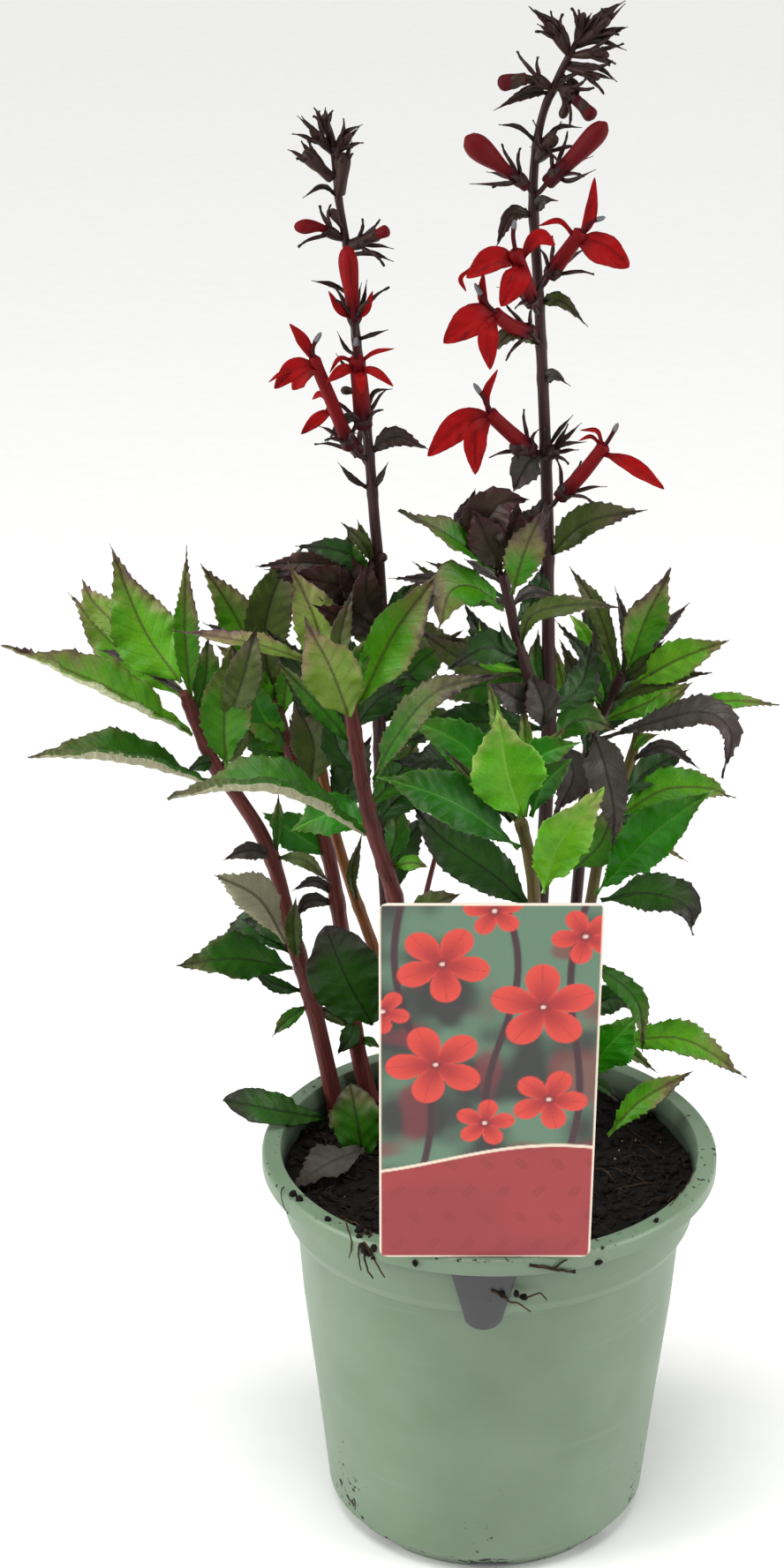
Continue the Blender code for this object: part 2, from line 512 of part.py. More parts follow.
def turned(profile):
    """A closed skin swept round the Z axis, from (radius, height) pairs.

    The profile starts and ends on the axis, its first point the upper one.
    """
    points = [Vector((0.0, 0.0, profile[0][1] * MM))]
    for radius, height in profile[1:-1]:
        for side in range(SIDES_ROUND):
            turn = math.tau * side / SIDES_ROUND
            points.append(Vector((
                radius * math.cos(turn), radius * math.sin(turn), height)) * MM)
    points.append(Vector((0.0, 0.0, profile[-1][1] * MM)))
    faces = []
    last = len(points) - 1
    for side in range(SIDES_ROUND):
        after = (side + 1) % SIDES_ROUND
        faces.append((0, 1 + side, 1 + after))
        for level in range(len(profile) - 3):
            low = 1 + level * SIDES_ROUND
            high = low + SIDES_ROUND
            faces.append((low + side, high + side, high + after, low + after))
        end = last - SIDES_ROUND
        faces.append((end + side, last, end + after))
    return points, faces


def box_skin(centre, size, turn=0.0, tilt=0.0):
    """A box of the given size, tilted about X and turned about Z."""
    points = []
    for z in (-0.5, 0.5):
        for x, y in ((-0.5, -0.5), (0.5, -0.5), (0.5, 0.5), (-0.5, 0.5)):
            corner = Vector((x * size[0], y * size[1], z * size[2]))
            low = corner.y * math.cos(tilt) - corner.z * math.sin(tilt)
            corner.z = corner.y * math.sin(tilt) + corner.z * math.cos(tilt)
            corner.y = low
            corner += centre
            points.append(Vector((
                corner.x * math.cos(turn) - corner.y * math.sin(turn),
                corner.x * math.sin(turn) + corner.y * math.cos(turn),
                corner.z)) * MM)
    faces = [(3, 2, 1, 0), (4, 5, 6, 7)]
    faces += [(i, (i + 1) % 4, (i + 1) % 4 + 4, i + 4) for i in range(4)]
    return points, faces


def make_pot():
    """The pot: a thin turned wall with a folded lip, drain notches and a label slot."""
    profile = [(0.0, POT_INSIDE[0][1]), *POT_INSIDE, *POT_OUTSIDE, (0.0, 0.0)]
    pot = add_object("pot", *turned(profile), "pot")
    cutters = helper_group("pot_cutters")
    centre = Vector((0.0, -NOTCH_RADIUS, NOTCH_HEIGHT))
    for index in range(NOTCHES):
        turn = math.tau * index / NOTCHES
        skin = box_skin(centre, NOTCH_SIZE, turn)
        add_helper(f"drain_notch_{index + 1}", *skin, "pot", cutters)
    slot = box_skin(LABEL_FOOT, SLOT_SIZE, tilt=LABEL_LEAN)
    add_helper("label_slot", *slot, "pot", cutters)
    boolean(pot, "DIFFERENCE", cutters)


def make_soil():
    """The compost: it fills the pot to a low dome."""
    walls = [(radius - GAP, max(height, POT_INSIDE[0][1] + GAP))
             for radius, height in POT_INSIDE if height < SOIL_EDGE]
    shoulder = (0.5 * SOIL_RADIUS, 0.75 * SOIL_CENTRE + 0.25 * SOIL_EDGE)
    profile = [(0.0, SOIL_CENTRE), shoulder, (SOIL_RADIUS, SOIL_EDGE),
               *reversed(walls), (0.0, POT_INSIDE[0][1] + GAP)]
    add_object("soil", *turned(profile), "soil")


def label_outline():
    """The card with rounded corners and its tapered tongue, as (across, up) pairs."""
    half = 0.5 * LABEL_WIDTH
    inner = half - LABEL_CORNER
    corners = ((inner, LABEL_CORNER, -90), (inner, LABEL_HEIGHT - LABEL_CORNER, 0),
               (-inner, LABEL_HEIGHT - LABEL_CORNER, 90), (-inner, LABEL_CORNER, 180))
    outline = []
    for x, z, start in corners:
        for step in range(CORNER_STEPS + 1):
            turn = math.radians(start + 90 * step / CORNER_STEPS)
            outline.append((x + LABEL_CORNER * math.cos(turn),
                            z + LABEL_CORNER * math.sin(turn)))
    end = 0.5 * TONGUE_END_WIDTH
    outline.append((-0.5 * TONGUE_TOP_WIDTH, 0.0))
    for step in range(TONGUE_STEPS + 1):
        turn = math.pi * (1.0 + step / TONGUE_STEPS)
        outline.append((end * math.cos(turn),
                        end - TONGUE_LENGTH + end * math.sin(turn)))
    outline.append((0.5 * TONGUE_TOP_WIDTH, 0.0))
    return outline


def make_label():
    """The plant label: a thin card, its tongue through the slot in the lip."""
    up = Vector((0.0, -math.sin(LABEL_LEAN), math.cos(LABEL_LEAN)))
    out = Vector((0.0, -math.cos(LABEL_LEAN), -math.sin(LABEL_LEAN)))
    rings = []
    for side in (-0.5, 0.5):
        rings.append([
            (LABEL_FOOT + Vector((x, 0.0, 0.0)) + up * z
             + out * side * LABEL_THICKNESS) * MM
            for x, z in label_outline()
        ])
    points, faces = loft(rings)
    add_object("label", points, faces, "card", LABEL_FOOT * MM)


def make_stem(name):
    """A stem with the small leaves, bracts and buds that grow from it."""
    colour, first, last, places = STEMS[name]
    count = 2 * len(places) - 1
    stem = add_object(name, *stem_skin(places, first, last, count), colour)
    sprigs = SPRIGS.get(name, ())
    if not sprigs:
        return
    group = helper_group(f"{name}_sprigs")
    for index, (width, belly, facing, *spots) in enumerate(sprigs):
        skin = blade_skin(spots, width, belly, facing, SPRIG_FOLD, SPRIG_STATIONS,
                          SPRIG_THICKNESS)
        add_helper(f"{name}_sprig_{index + 1}", *skin, colour, group)
    boolean(stem, "UNION", group)


def make_leaf(name):
    colour, width, belly, facing, fold, places = LEAVES[name]
    stations = LEAF_STATIONS + 2 * (len(places) - 3)
    skin = blade_skin(places, width, belly, facing, fold, stations, LEAF_THICKNESS)
    add_object(name, *skin, colour, seen(places[0]))


def make_flower(name):
    """A flower: its tube, and the petals joined on to it."""
    radius, places, petals = FLOWERS[name]
    skin = stem_skin(places, TUBE_BASE_SHARE * radius, radius, TUBE_RINGS)
    flower = add_object(name, *skin, "petal")
    group = helper_group(f"{name}_petals")
    for index, (width, *spots) in enumerate(petals):
        skin = blade_skin(spots, width, PETAL_BELLY, PETAL_FACING, PETAL_FOLD,
                          PETAL_STATIONS, PETAL_THICKNESS)
        add_helper(f"{name}_petal_{index + 1}", *skin, "petal", group)
    boolean(flower, "UNION", group)


def main():
    clear_scene()
    make_pot()
    make_soil()
    make_label()
    for name in STEMS:
        make_stem(name)
    for name in LEAVES:
        make_leaf(name)
    for name in FLOWERS:
        make_flower(name)


main()
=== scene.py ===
"""Potted fan scarlet lobelia, dressed: leaves, stems, flowers, compost, pot and label.

Metres, +Z up, front towards -Y, the pot's base centred on the origin. The plant is laid
out from one viewpoint: a place is written (x, z, y) in millimetres, where (x, z) is the
spot at which its line of sight crosses the upright plane through the pot's axis, and y is
its depth behind that plane. Loose bits on the pot's lip are laid out by real (x, z, y).
Every piece is worked out as numpy grids.
"""

import json
import logging
import math
from dataclasses import dataclass, field
from enum import Enum
from typing import Any, Sequence

import bpy
import numpy as np
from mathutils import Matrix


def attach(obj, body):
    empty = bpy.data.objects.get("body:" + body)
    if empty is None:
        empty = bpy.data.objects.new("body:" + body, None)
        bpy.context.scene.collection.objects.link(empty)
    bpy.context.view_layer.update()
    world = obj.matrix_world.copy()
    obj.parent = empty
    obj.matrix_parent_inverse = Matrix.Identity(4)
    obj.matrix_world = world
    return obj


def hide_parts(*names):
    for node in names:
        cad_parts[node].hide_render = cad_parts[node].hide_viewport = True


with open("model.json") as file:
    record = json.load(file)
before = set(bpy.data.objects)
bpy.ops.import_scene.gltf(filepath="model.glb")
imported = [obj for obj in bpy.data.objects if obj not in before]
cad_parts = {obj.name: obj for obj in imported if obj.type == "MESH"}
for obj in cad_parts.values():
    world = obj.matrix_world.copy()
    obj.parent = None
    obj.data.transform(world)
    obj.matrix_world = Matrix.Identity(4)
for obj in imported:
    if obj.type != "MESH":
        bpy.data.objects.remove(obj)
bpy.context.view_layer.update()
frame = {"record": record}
log = logging.getLogger("lobelia")

MM = 0.001
EYE = np.array((-38.5, -1200.0, 828.0))
LENS_MM = 79.01
SENSOR_MM = 36.0

# A leaf's side veins: their spacing and how far they run on for each millimetre across,
# and how much later the right half's leave the midrib, in millimetres.
VEIN_GAP = 5.8
VEIN_SWEEP = 1.05
VEIN_LAG = 2.6

# A leaf's relief in millimetres: the lengths of its two ruffles, the depth of the quilting
# between its veins, the groove over its midrib and the rib below, each with its width, and
# how thick it is at its edge and how much thicker at its middle.
RUFFLE_LONG, RUFFLE_SHORT = 19.0, 8.3
QUILT = 0.26
GROOVE, GROOVE_WIDTH = 0.35, 0.7
RIB, RIB_WIDTH = 0.55, 0.8
EDGE_THICK, MIDDLE_MORE = 0.10, 0.16

# How a stem swells where a leaf joins it, as a share, and how far that reaches along it;
# how much it flares at its foot and how far up that reaches, in millimetres.
JOINT_SWELL, JOINT_REACH = 0.13, 2.4
FLARE, FLARE_REACH = 0.9, 8.0

Array = np.ndarray
Place = tuple[float, float, float]
Colour = tuple[float, float, float, float]


class Kind(Enum):
    """The looks a leaf can have, each with its finish in LEAF_FINISHES."""

    BRIGHT = "bright"
    FRESH = "fresh"
    LUSH = "lush"
    GREEN = "green"
    PALE = "pale"
    DARK = "dark"
    OLIVE = "olive"
    PURPLE = "purple"
    DEAD = "dead"
    YOUNG = "young"


# Arithmetic on arrays


def seen(places: Sequence[Place]) -> Array:
    """Real points of places written (x, z, y).

    A point lies on the line from the eye through (x, 0, z), at the given depth.

    Args:
        places: places in millimetres.

    Returns:
        Points in metres, one row each.
    """
    rows = np.asarray(places, float)
    reach = 1.0 - rows[:, 2:3] / EYE[1]
    flat = np.stack([rows[:, 0], np.zeros(len(rows)), rows[:, 1]], axis=1)
    return (EYE + (flat - EYE) * reach) * MM


def real(places: Sequence[Place]) -> Array:
    """Points in metres of places that give the real (x, z, y) in millimetres."""
    return np.asarray(places, float)[:, [0, 2, 1]] * MM


def unit(vectors: Array) -> Array:
    """Each vector divided by its length."""
    return vectors / np.maximum(np.linalg.norm(vectors, axis=-1, keepdims=True), 1e-12)


def spline(points: Array, shares: Array) -> Array:
    """Points along a smooth curve through fixed points.

    Between fixed points b and c, with neighbours a and d, the curve is the cubic
    0.5 (2b + (c-a)t + (2a-5b+4c-d)t^2 + (3b-a-3c+d)t^3).

    Args:
        points: the fixed points.
        shares: how far along each wanted point lies, from 0 to 1.

    Returns:
        One point for each share.
    """
    ends = np.concatenate([2 * points[:1] - points[1:2], points,
                           2 * points[-1:] - points[-2:-1]])
    along = np.clip(shares, 0.0, 1.0) * (len(points) - 1)
    piece = np.minimum(along.astype(int), len(points) - 2)
    t = (along - piece)[:, None]
    a, b, c, d = (ends[piece + i] for i in range(4))
    return 0.5 * (2 * b + (c - a) * t + (2 * a - 5 * b + 4 * c - d) * t ** 2
                  + (3 * b - a - 3 * c + d) * t ** 3)


def travelled(points: Array) -> Array:
    """How far along a path each of its points is, in millimetres."""
    steps = np.linalg.norm(np.diff(points, axis=0), axis=1)
    return np.concatenate([[0.0], np.cumsum(steps)]) / MM


def smooth(low: float, high: float, values: Array) -> Array:
    """A soft step from 0 at low to 1 at high: 3s^2 - 2s^3."""
    share = np.clip((values - low) / (high - low), 0.0, 1.0)
    return share * share * (3.0 - 2.0 * share)


def scatter(keys: Array, seed: float = 0.0) -> Array:
    """A fixed pseudo-random number from 0 to 1 for each number: the far digits of a sine."""
    return np.mod(np.sin(keys * 12.9898 + seed * 78.233 + 4.1) * 43758.5453, 1.0)


def lumps(points: Array, pitch: float, seed: float = 0.0) -> Array:
    """Smooth noise from -1 to 1: random values on a lattice, blended between its corners.

    Args:
        points: where it is wanted, as rows of three numbers.
        pitch: the lattice spacing, in the same unit.
        seed: a number that picks another pattern.

    Returns:
        One value for each point.
    """
    scaled = points / pitch
    corner = np.floor(scaled)
    share = scaled - corner
    share = share * share * (3.0 - 2.0 * share)
    total = np.zeros(points.shape[:-1])
    for x in (0, 1):
        for y in (0, 1):
            for z in (0, 1):
                at = corner + (x, y, z)
                key = at[..., 0] * 1.0 + at[..., 1] * 57.0 + at[..., 2] * 113.0
                weight = np.ones(points.shape[:-1])
                for axis, side in enumerate((x, y, z)):
                    weight *= share[..., axis] if side else 1.0 - share[..., axis]
                total += weight * scatter(key, seed)
    return 2.0 * total - 1.0


# Gathering meshes


@dataclass
class Skin:
    """One piece's mesh, gathered from closed rings of points.

    Three vectors are kept at every point, for the materials: grain (share of the length,
    place across from -1 to 1, 1 on an underside), size (millimetres along, millimetres
    across, a number that differs from leaf to leaf) and tone (flush, light, depth). On a
    leaf, a stem and the pot the depth is painted shade.
    """

    points: list[Array] = field(default_factory=list)
    faces: list[list[tuple[int, ...]]] = field(default_factory=list)
    grain: list[Array] = field(default_factory=list)
    size: list[Array] = field(default_factory=list)
    tone: list[Array] = field(default_factory=list)
    slots: list[int] = field(default_factory=list)
    materials: list[bpy.types.Material] = field(default_factory=list)
    count: int = 0

    def rings(self, rings: Array, finish: bpy.types.Material, grain: Array | None = None,
              size: Array | None = None, tone: Array | Place = (0.0, 0.0, 0.0)) -> None:
        """Adds a closed skin over rings of equal length, with a fan over each end.

        Args:
            rings: points in metres, indexed by ring, place round it and coordinate.
            finish: the material of all of it.
            grain: the grain vectors, in the same shape as the rings, or None for zeros.
            size: the size vectors, in the same shape, or None for zeros.
            tone: the tone vectors, or one for all points.
        """
        rows, sides = rings.shape[:2]
        fields = []
        for given in (rings, grain, size, tone):
            whole = np.zeros_like(rings) if given is None else np.broadcast_to(
                np.asarray(given, float), rings.shape)
            ends = (whole[0].mean(axis=0), whole[-1].mean(axis=0))
            fields.append(np.concatenate([whole.reshape(-1, 3), ends]))
        index = np.arange(rows * sides).reshape(rows, sides)
        after = np.roll(index, -1, axis=1)
        quads = np.stack([index[:-1], after[:-1], after[1:], index[1:]], -1).reshape(-1, 4)
        first, last = rows * sides, rows * sides + 1
        base = np.stack([after[0], index[0], np.full(sides, first)], -1)
        tip = np.stack([index[-1], after[-1], np.full(sides, last)], -1)
        flat = fields[0]
        corners = flat[np.concatenate([quads[:, :3], quads[:, [0, 2, 3]], base, tip])]
        volume = np.einsum("ij,ij->i", corners[:, 0],
                           np.cross(corners[:, 1], corners[:, 2])).sum()
        turn = slice(None, None, -1 if volume < 0 else 1)
        rows_of = [*(quads[:, turn] + self.count).tolist(),
                   *(np.concatenate([base, tip])[:, turn] + self.count).tolist()]
        self.points.append(fields[0])
        self.grain.append(fields[1])
        self.size.append(fields[2])
        self.tone.append(fields[3])
        self.faces.append(rows_of)
        if finish not in self.materials:
            self.materials.append(finish)
        self.slots.extend([self.materials.index(finish)] * len(rows_of))
        self.count += len(flat)

    def copies(self, points: Array, faces: Array, finish: bpy.types.Material,
               light: Array) -> None:
        """Adds many small closed shapes that share one list of triangles.

        Args:
            points: the corners of each shape, in metres.
            faces: the triangles of one shape.
            finish: the material of all of them.
            light: how pale each shape is.
        """
        each = points.shape[1]
        rows = (faces[None] + self.count + each * np.arange(len(points))[:, None, None])
        flat = points.reshape(-1, 3)
        tone = np.zeros_like(flat)
        tone[:, 1] = np.repeat(light, each)
        self.points.append(flat)
        self.grain.append(np.zeros_like(flat))
        self.size.append(np.zeros_like(flat))
        self.tone.append(tone)
        self.faces.append(rows.reshape(-1, 3).tolist())
        if finish not in self.materials:
            self.materials.append(finish)
        self.slots.extend([self.materials.index(finish)] * (len(faces) * len(points)))
        self.count += len(flat)

    def make(self, name: str, slot: str, *nodes: str) -> bpy.types.Object:
        """The finished object, riding on the plant's one body.

        Args:
            name: the object's name.
            slot: the record's material slot; not used.
            *nodes: the solids that it stands for.

        Returns:
            The object.
        """
        mesh = bpy.data.meshes.new(name)
        faces = [face for part in self.faces for face in part]
        mesh.from_pydata(np.concatenate(self.points).tolist(), [], faces)
        mesh.polygons.foreach_set("use_smooth", np.ones(len(faces), bool))
        mesh.polygons.foreach_set("material_index", np.array(self.slots, np.int32))
        for label in ("grain", "size", "tone"):
            made = mesh.attributes.new(label, "FLOAT_VECTOR", "POINT")
            values = np.concatenate(getattr(self, label)).astype(np.float32)
            made.data.foreach_set("vector", values.ravel())
        for material in self.materials:
            mesh.materials.append(material)
        mesh.update()
        piece = bpy.data.objects.new(name, mesh)
        bpy.context.scene.collection.objects.link(piece)
        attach(piece, "root")
        if nodes:
            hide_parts(*nodes)
        log.info("%s: %d points, %d faces", name, self.count, len(faces))
        return piece


# Finishes


def linear(code: str) -> Colour:
    """The linear colour of an sRGB hex code.

    Args:
        code: six hex digits, such as 7a8d7a.

    Returns:
        Red, green and blue from 0 to 1, then 1 for full opacity.
    """
    parts = np.array([int(code[i:i + 2], 16) for i in (0, 2, 4)]) / 255.0
    low, high = parts / 12.92, ((parts + 0.055) / 1.055) ** 2.4
    return (*np.where(parts <= 0.04045, low, high).tolist(), 1.0)


class Shader:
    """The node graph of one material."""

    def __init__(self, name: str) -> None:
        """Starts an empty material.

        Args:
            name: the material's name.
        """
        self.material = bpy.data.materials.new(name)
        self.material.use_nodes = True
        self.tree = self.material.node_tree
        self.tree.nodes.clear()

    def add(self, kind: str, inputs: dict[int | str, Any] | None = None,
            **settings: Any) -> Any:
        """Adds one node.

        Args:
            kind: the node's type, without ShaderNode.
            inputs: for each socket, a value to set or another node's output to link.
            **settings: the node's own properties.

        Returns:
            The node's outputs.
        """
        node = self.tree.nodes.new("ShaderNode" + kind)
        for key, value in settings.items():
            setattr(node, key, value)
        for key, value in (inputs or {}).items():
            if isinstance(value, bpy.types.NodeSocket):
                self.tree.links.new(value, node.inputs[key])
            else:
                node.inputs[key].default_value = value
        return node.outputs


@dataclass(frozen=True)
class LeafFinish:
    """A living leaf: soft green tissue under a thin waxy skin, with sunk veins.

    The skin gives a broad satin gloss; anthocyanin tints the tip, the edge and the veins
    purple-brown; the underside is paler and duller. Side veins leave the midrib every
    6 mm and the net between them has 1.4 mm cells.
    """

    name: str
    blade: str
    light: str
    flush: str
    edge: str
    vein: str
    under: str
    roughness: float = 0.42

    def material(self) -> bpy.types.Material:
        """Builds the leaf's material, read from the grain, size and tone at each point.

        Returns:
            The material.
        """
        s = Shader(self.name)
        grain = s.add("SeparateXYZ", {0: s.add("Attribute", attribute_name="grain")["Vector"]})
        size = s.add("Attribute", attribute_name="size")["Vector"]
        place = s.add("SeparateXYZ", {0: size})
        tone = s.add("SeparateXYZ", {0: s.add("Attribute", attribute_name="tone")["Vector"]})
        out = s.add("Math", {0: grain[1]}, operation="ABSOLUTE")[0]
        across = s.add("Math", {0: place[1]}, operation="ABSOLUTE")[0]
        blot = s.add("TexNoise", {"Vector": size, "Scale": 0.16, "Detail": 4.0})["Fac"]
        fine = s.add("TexNoise", {"Vector": size, "Scale": 1.3, "Detail": 2.0})["Fac"]
        sweep = s.add("Math", {0: across, 1: -VEIN_SWEEP, 2: place[0]},
                      operation="MULTIPLY_ADD")[0]
        bent = s.add("Math", {0: blot, 1: 3.0, 2: sweep}, operation="MULTIPLY_ADD")[0]
        side = s.add("Math", {0: grain[1], 1: 0.0}, operation="GREATER_THAN")[0]
        even = s.add("Math", {0: side, 1: VEIN_LAG, 2: bent}, operation="MULTIPLY_ADD")[0]
        zigzag = s.add("Math", {0: even, 1: 0.5 * VEIN_GAP}, operation="PINGPONG")[0]
        ribs = s.add("MapRange", {0: zigzag, 1: 0.0, 2: 0.3, 3: 1.0, 4: 0.0})[0]
        mid = s.add("MapRange", {0: across, 1: 0.25, 2: 0.75, 3: 1.0, 4: 0.0})[0]
        net_of = s.add("TexVoronoi", {"Vector": size, "Scale": 0.7},
                       feature="DISTANCE_TO_EDGE")["Distance"]
        net = s.add("MapRange", {0: net_of, 1: 0.0, 2: 0.12, 3: 1.0, 4: 0.0})[0]
        rim = s.add("MapRange", {0: out, 1: 0.90, 2: 1.0})[0]
        inner = s.add("MapRange", {0: out, 1: 0.0, 2: 0.75, 3: 1.0, 4: 0.0})[0]
        glow = s.add("Math", {0: inner, 1: 0.55, 2: tone[1]}, operation="MULTIPLY_ADD")[0]
        glow = s.add("Math", {0: blot, 1: glow}, operation="MULTIPLY", use_clamp=True)[0]
        green = s.add("Mix", {0: glow, 6: linear(self.blade), 7: linear(self.light)},
                      data_type="RGBA")[2]
        tip = s.add("MapRange", {0: grain[0], 1: 0.38, 2: 1.0, 3: -0.25, 4: 1.3})[0]
        edge = s.add("Math", {0: out, 1: 4.0}, operation="POWER")[0]
        reach = s.add("Math", {0: edge, 1: 0.5, 2: tip}, operation="MULTIPLY_ADD")[0]
        blush = s.add("Math", {0: blot, 1: 1.5, 2: -0.75}, operation="MULTIPLY_ADD")[0]
        reach = s.add("Math", {0: reach, 1: blush}, operation="ADD")[0]
        reach = s.add("Math", {0: reach, 1: tone[0]}, operation="ADD")[0]
        stain = s.add("MapRange", {0: reach, 1: 0.3, 2: 1.05})[0]
        tinted = s.add("Mix", {0: stain, 6: green, 7: linear(self.flush)},
                       data_type="RGBA")[2]
        stain = s.add("MapRange", {0: reach, 1: 0.95, 2: 1.65})[0]
        tinted = s.add("Mix", {0: stain, 6: tinted, 7: linear(self.edge)},
                       data_type="RGBA")[2]
        pale = s.add("Mix", {0: grain[2], 6: tinted, 7: linear(self.under)},
                     data_type="RGBA")[2]
        lines = s.add("Math", {0: ribs, 1: 0.3}, operation="MULTIPLY")[0]
        lines = s.add("Math", {0: mid, 1: 0.62, 2: lines}, operation="MULTIPLY_ADD")[0]
        lines = s.add("Math", {0: net, 1: 0.07, 2: lines}, operation="MULTIPLY_ADD")[0]
        lines = s.add("Math", {0: rim, 1: 0.4, 2: lines}, operation="MULTIPLY_ADD",
                      use_clamp=True)[0]
        colour = s.add("Mix", {0: lines, 6: pale, 7: linear(self.vein)},
                       data_type="RGBA")[2]
        # Painted shade: tone.z darkens the whole leaf, down to 0.35 of its colour, for a leaf that lies
        # in shadow.
        shade = s.add("MapRange", {0: tone[2], 1: 0.0, 2: 1.0, 3: 1.0, 4: 0.35})[0]
        speck = s.add("MapRange", {0: fine, 1: 0.3, 2: 0.7, 3: 0.88, 4: 1.1})[0]
        shade = s.add("Math", {0: shade, 1: speck}, operation="MULTIPLY")[0]
        colour = s.add("VectorMath", {0: colour, "Scale": shade}, operation="SCALE")[0]
        relief = s.add("Math", {0: fine, 1: 0.25, 2: 0.5}, operation="MULTIPLY_ADD")[0]
        relief = s.add("Math", {0: lines, 1: -0.9, 2: relief}, operation="MULTIPLY_ADD")[0]
        bump = s.add("Bump", {"Strength": 0.55, "Distance": 0.0006, "Height": relief})[0]
        gloss = s.add("MapRange", {0: grain[2], 3: self.roughness,
                                   4: self.roughness + 0.22})[0]
        skin = s.add("BsdfPrincipled", {
            "Base Color": colour, "Roughness": gloss, "IOR": 1.42, "Normal": bump,
            "Specular IOR Level": 0.3})[0]
        s.add("OutputMaterial", {0: skin})
        return s.material


@dataclass(frozen=True)
class StemFinish:
    """A fleshy herbaceous stem: a smooth, slightly glossy skin, streaked lengthwise.

    The streaks are 0.6 mm wide and many times as long; pale pores 0.5 mm across dot it.
    """

    name: str
    body: str
    streak: str
    shade: str
    roughness: float = 0.42

    def material(self) -> bpy.types.Material:
        """Builds the stem's material, its streaks following the length and the girth.

        Returns:
            The material.
        """
        s = Shader(self.name)
        size = s.add("Attribute", attribute_name="size")["Vector"]
        tone = s.add("SeparateXYZ", {0: s.add("Attribute", attribute_name="tone")["Vector"]})
        long = s.add("Mapping", {0: size, 3: (0.07, 1.6, 1.0)})[0]
        streaks = s.add("TexNoise", {"Vector": long, "Scale": 1.0, "Detail": 3.0})["Fac"]
        share = s.add("MapRange", {0: streaks, 1: 0.35, 2: 0.68})[0]
        colour = s.add("Mix", {0: share, 6: linear(self.body), 7: linear(self.streak)},
                       data_type="RGBA")[2]
        pores = s.add("TexVoronoi", {"Vector": size, "Scale": 0.55})["Distance"]
        pore = s.add("MapRange", {0: pores, 1: 0.10, 2: 0.2, 3: 0.35, 4: 0.0})[0]
        colour = s.add("Mix", {0: pore, 6: colour, 7: linear(self.streak)},
                       data_type="RGBA")[2]
        # Painted shade: tone.z would darken the skin towards the shade colour; every stem here leaves it
        # at 0.
        colour = s.add("Mix", {0: tone[2], 6: colour, 7: linear(self.shade)},
                       data_type="RGBA")[2]
        bump = s.add("Bump", {"Strength": 0.35, "Distance": 0.0005, "Height": streaks})[0]
        skin = s.add("BsdfPrincipled", {
            "Base Color": colour, "Roughness": self.roughness, "IOR": 1.42,
            "Specular IOR Level": 0.25, "Normal": bump})[0]
        s.add("OutputMaterial", {0: skin})
        return s.material


@dataclass(frozen=True)
class PetalFinish:
    """A scarlet petal: velvety cells over thin coloured tissue, with darker veins.

    The velvet scatters light softly at the edges; the veins run out from the throat,
    1.2 mm apart, and the throat and the tube are deeper than the lobes.
    """

    name: str
    lobe: str
    throat: str
    vein: str

    def material(self) -> bpy.types.Material:
        """Builds the petal's material; tone.z deepens the colour towards the throat's.

        Returns:
            The material.
        """
        s = Shader(self.name)
        grain = s.add("SeparateXYZ", {0: s.add("Attribute", attribute_name="grain")["Vector"]})
        size = s.add("Attribute", attribute_name="size")["Vector"]
        tone = s.add("SeparateXYZ", {0: s.add("Attribute", attribute_name="tone")["Vector"]})
        long = s.add("Mapping", {0: size, 3: (0.12, 0.8, 1.0)})[0]
        runs = s.add("TexNoise", {"Vector": long, "Scale": 1.0, "Detail": 2.0})["Fac"]
        fine = s.add("TexNoise", {"Vector": size, "Scale": 2.2, "Detail": 2.0})["Fac"]
        deep = s.add("MapRange", {0: grain[0], 1: 0.0, 2: 0.45, 3: 0.75, 4: 0.0})[0]
        deep = s.add("Math", {0: deep, 1: tone[2]}, operation="ADD", use_clamp=True)[0]
        colour = s.add("Mix", {0: deep, 6: linear(self.lobe), 7: linear(self.throat)},
                       data_type="RGBA")[2]
        line = s.add("MapRange", {0: runs, 1: 0.52, 2: 0.66, 3: 0.0, 4: 0.6})[0]
        out = s.add("Math", {0: grain[1]}, operation="ABSOLUTE")[0]
        rim = s.add("MapRange", {0: out, 1: 0.86, 2: 1.0, 3: 0.0, 4: 0.5})[0]
        line = s.add("Math", {0: line, 1: rim}, operation="MAXIMUM")[0]
        colour = s.add("Mix", {0: line, 6: colour, 7: linear(self.vein)},
                       data_type="RGBA")[2]
        relief = s.add("Math", {0: fine, 1: 0.4, 2: runs}, operation="MULTIPLY_ADD")[0]
        bump = s.add("Bump", {"Strength": 0.4, "Distance": 0.0005, "Height": relief})[0]
        skin = s.add("BsdfPrincipled", {
            "Base Color": colour, "Roughness": 0.6, "IOR": 1.4, "Normal": bump,
            "Specular IOR Level": 0.16, "Sheen Weight": 0.05, "Sheen Roughness": 0.4,
            "Sheen Tint": linear("a0201a")})[0]
        s.add("OutputMaterial", {0: skin})
        return s.material


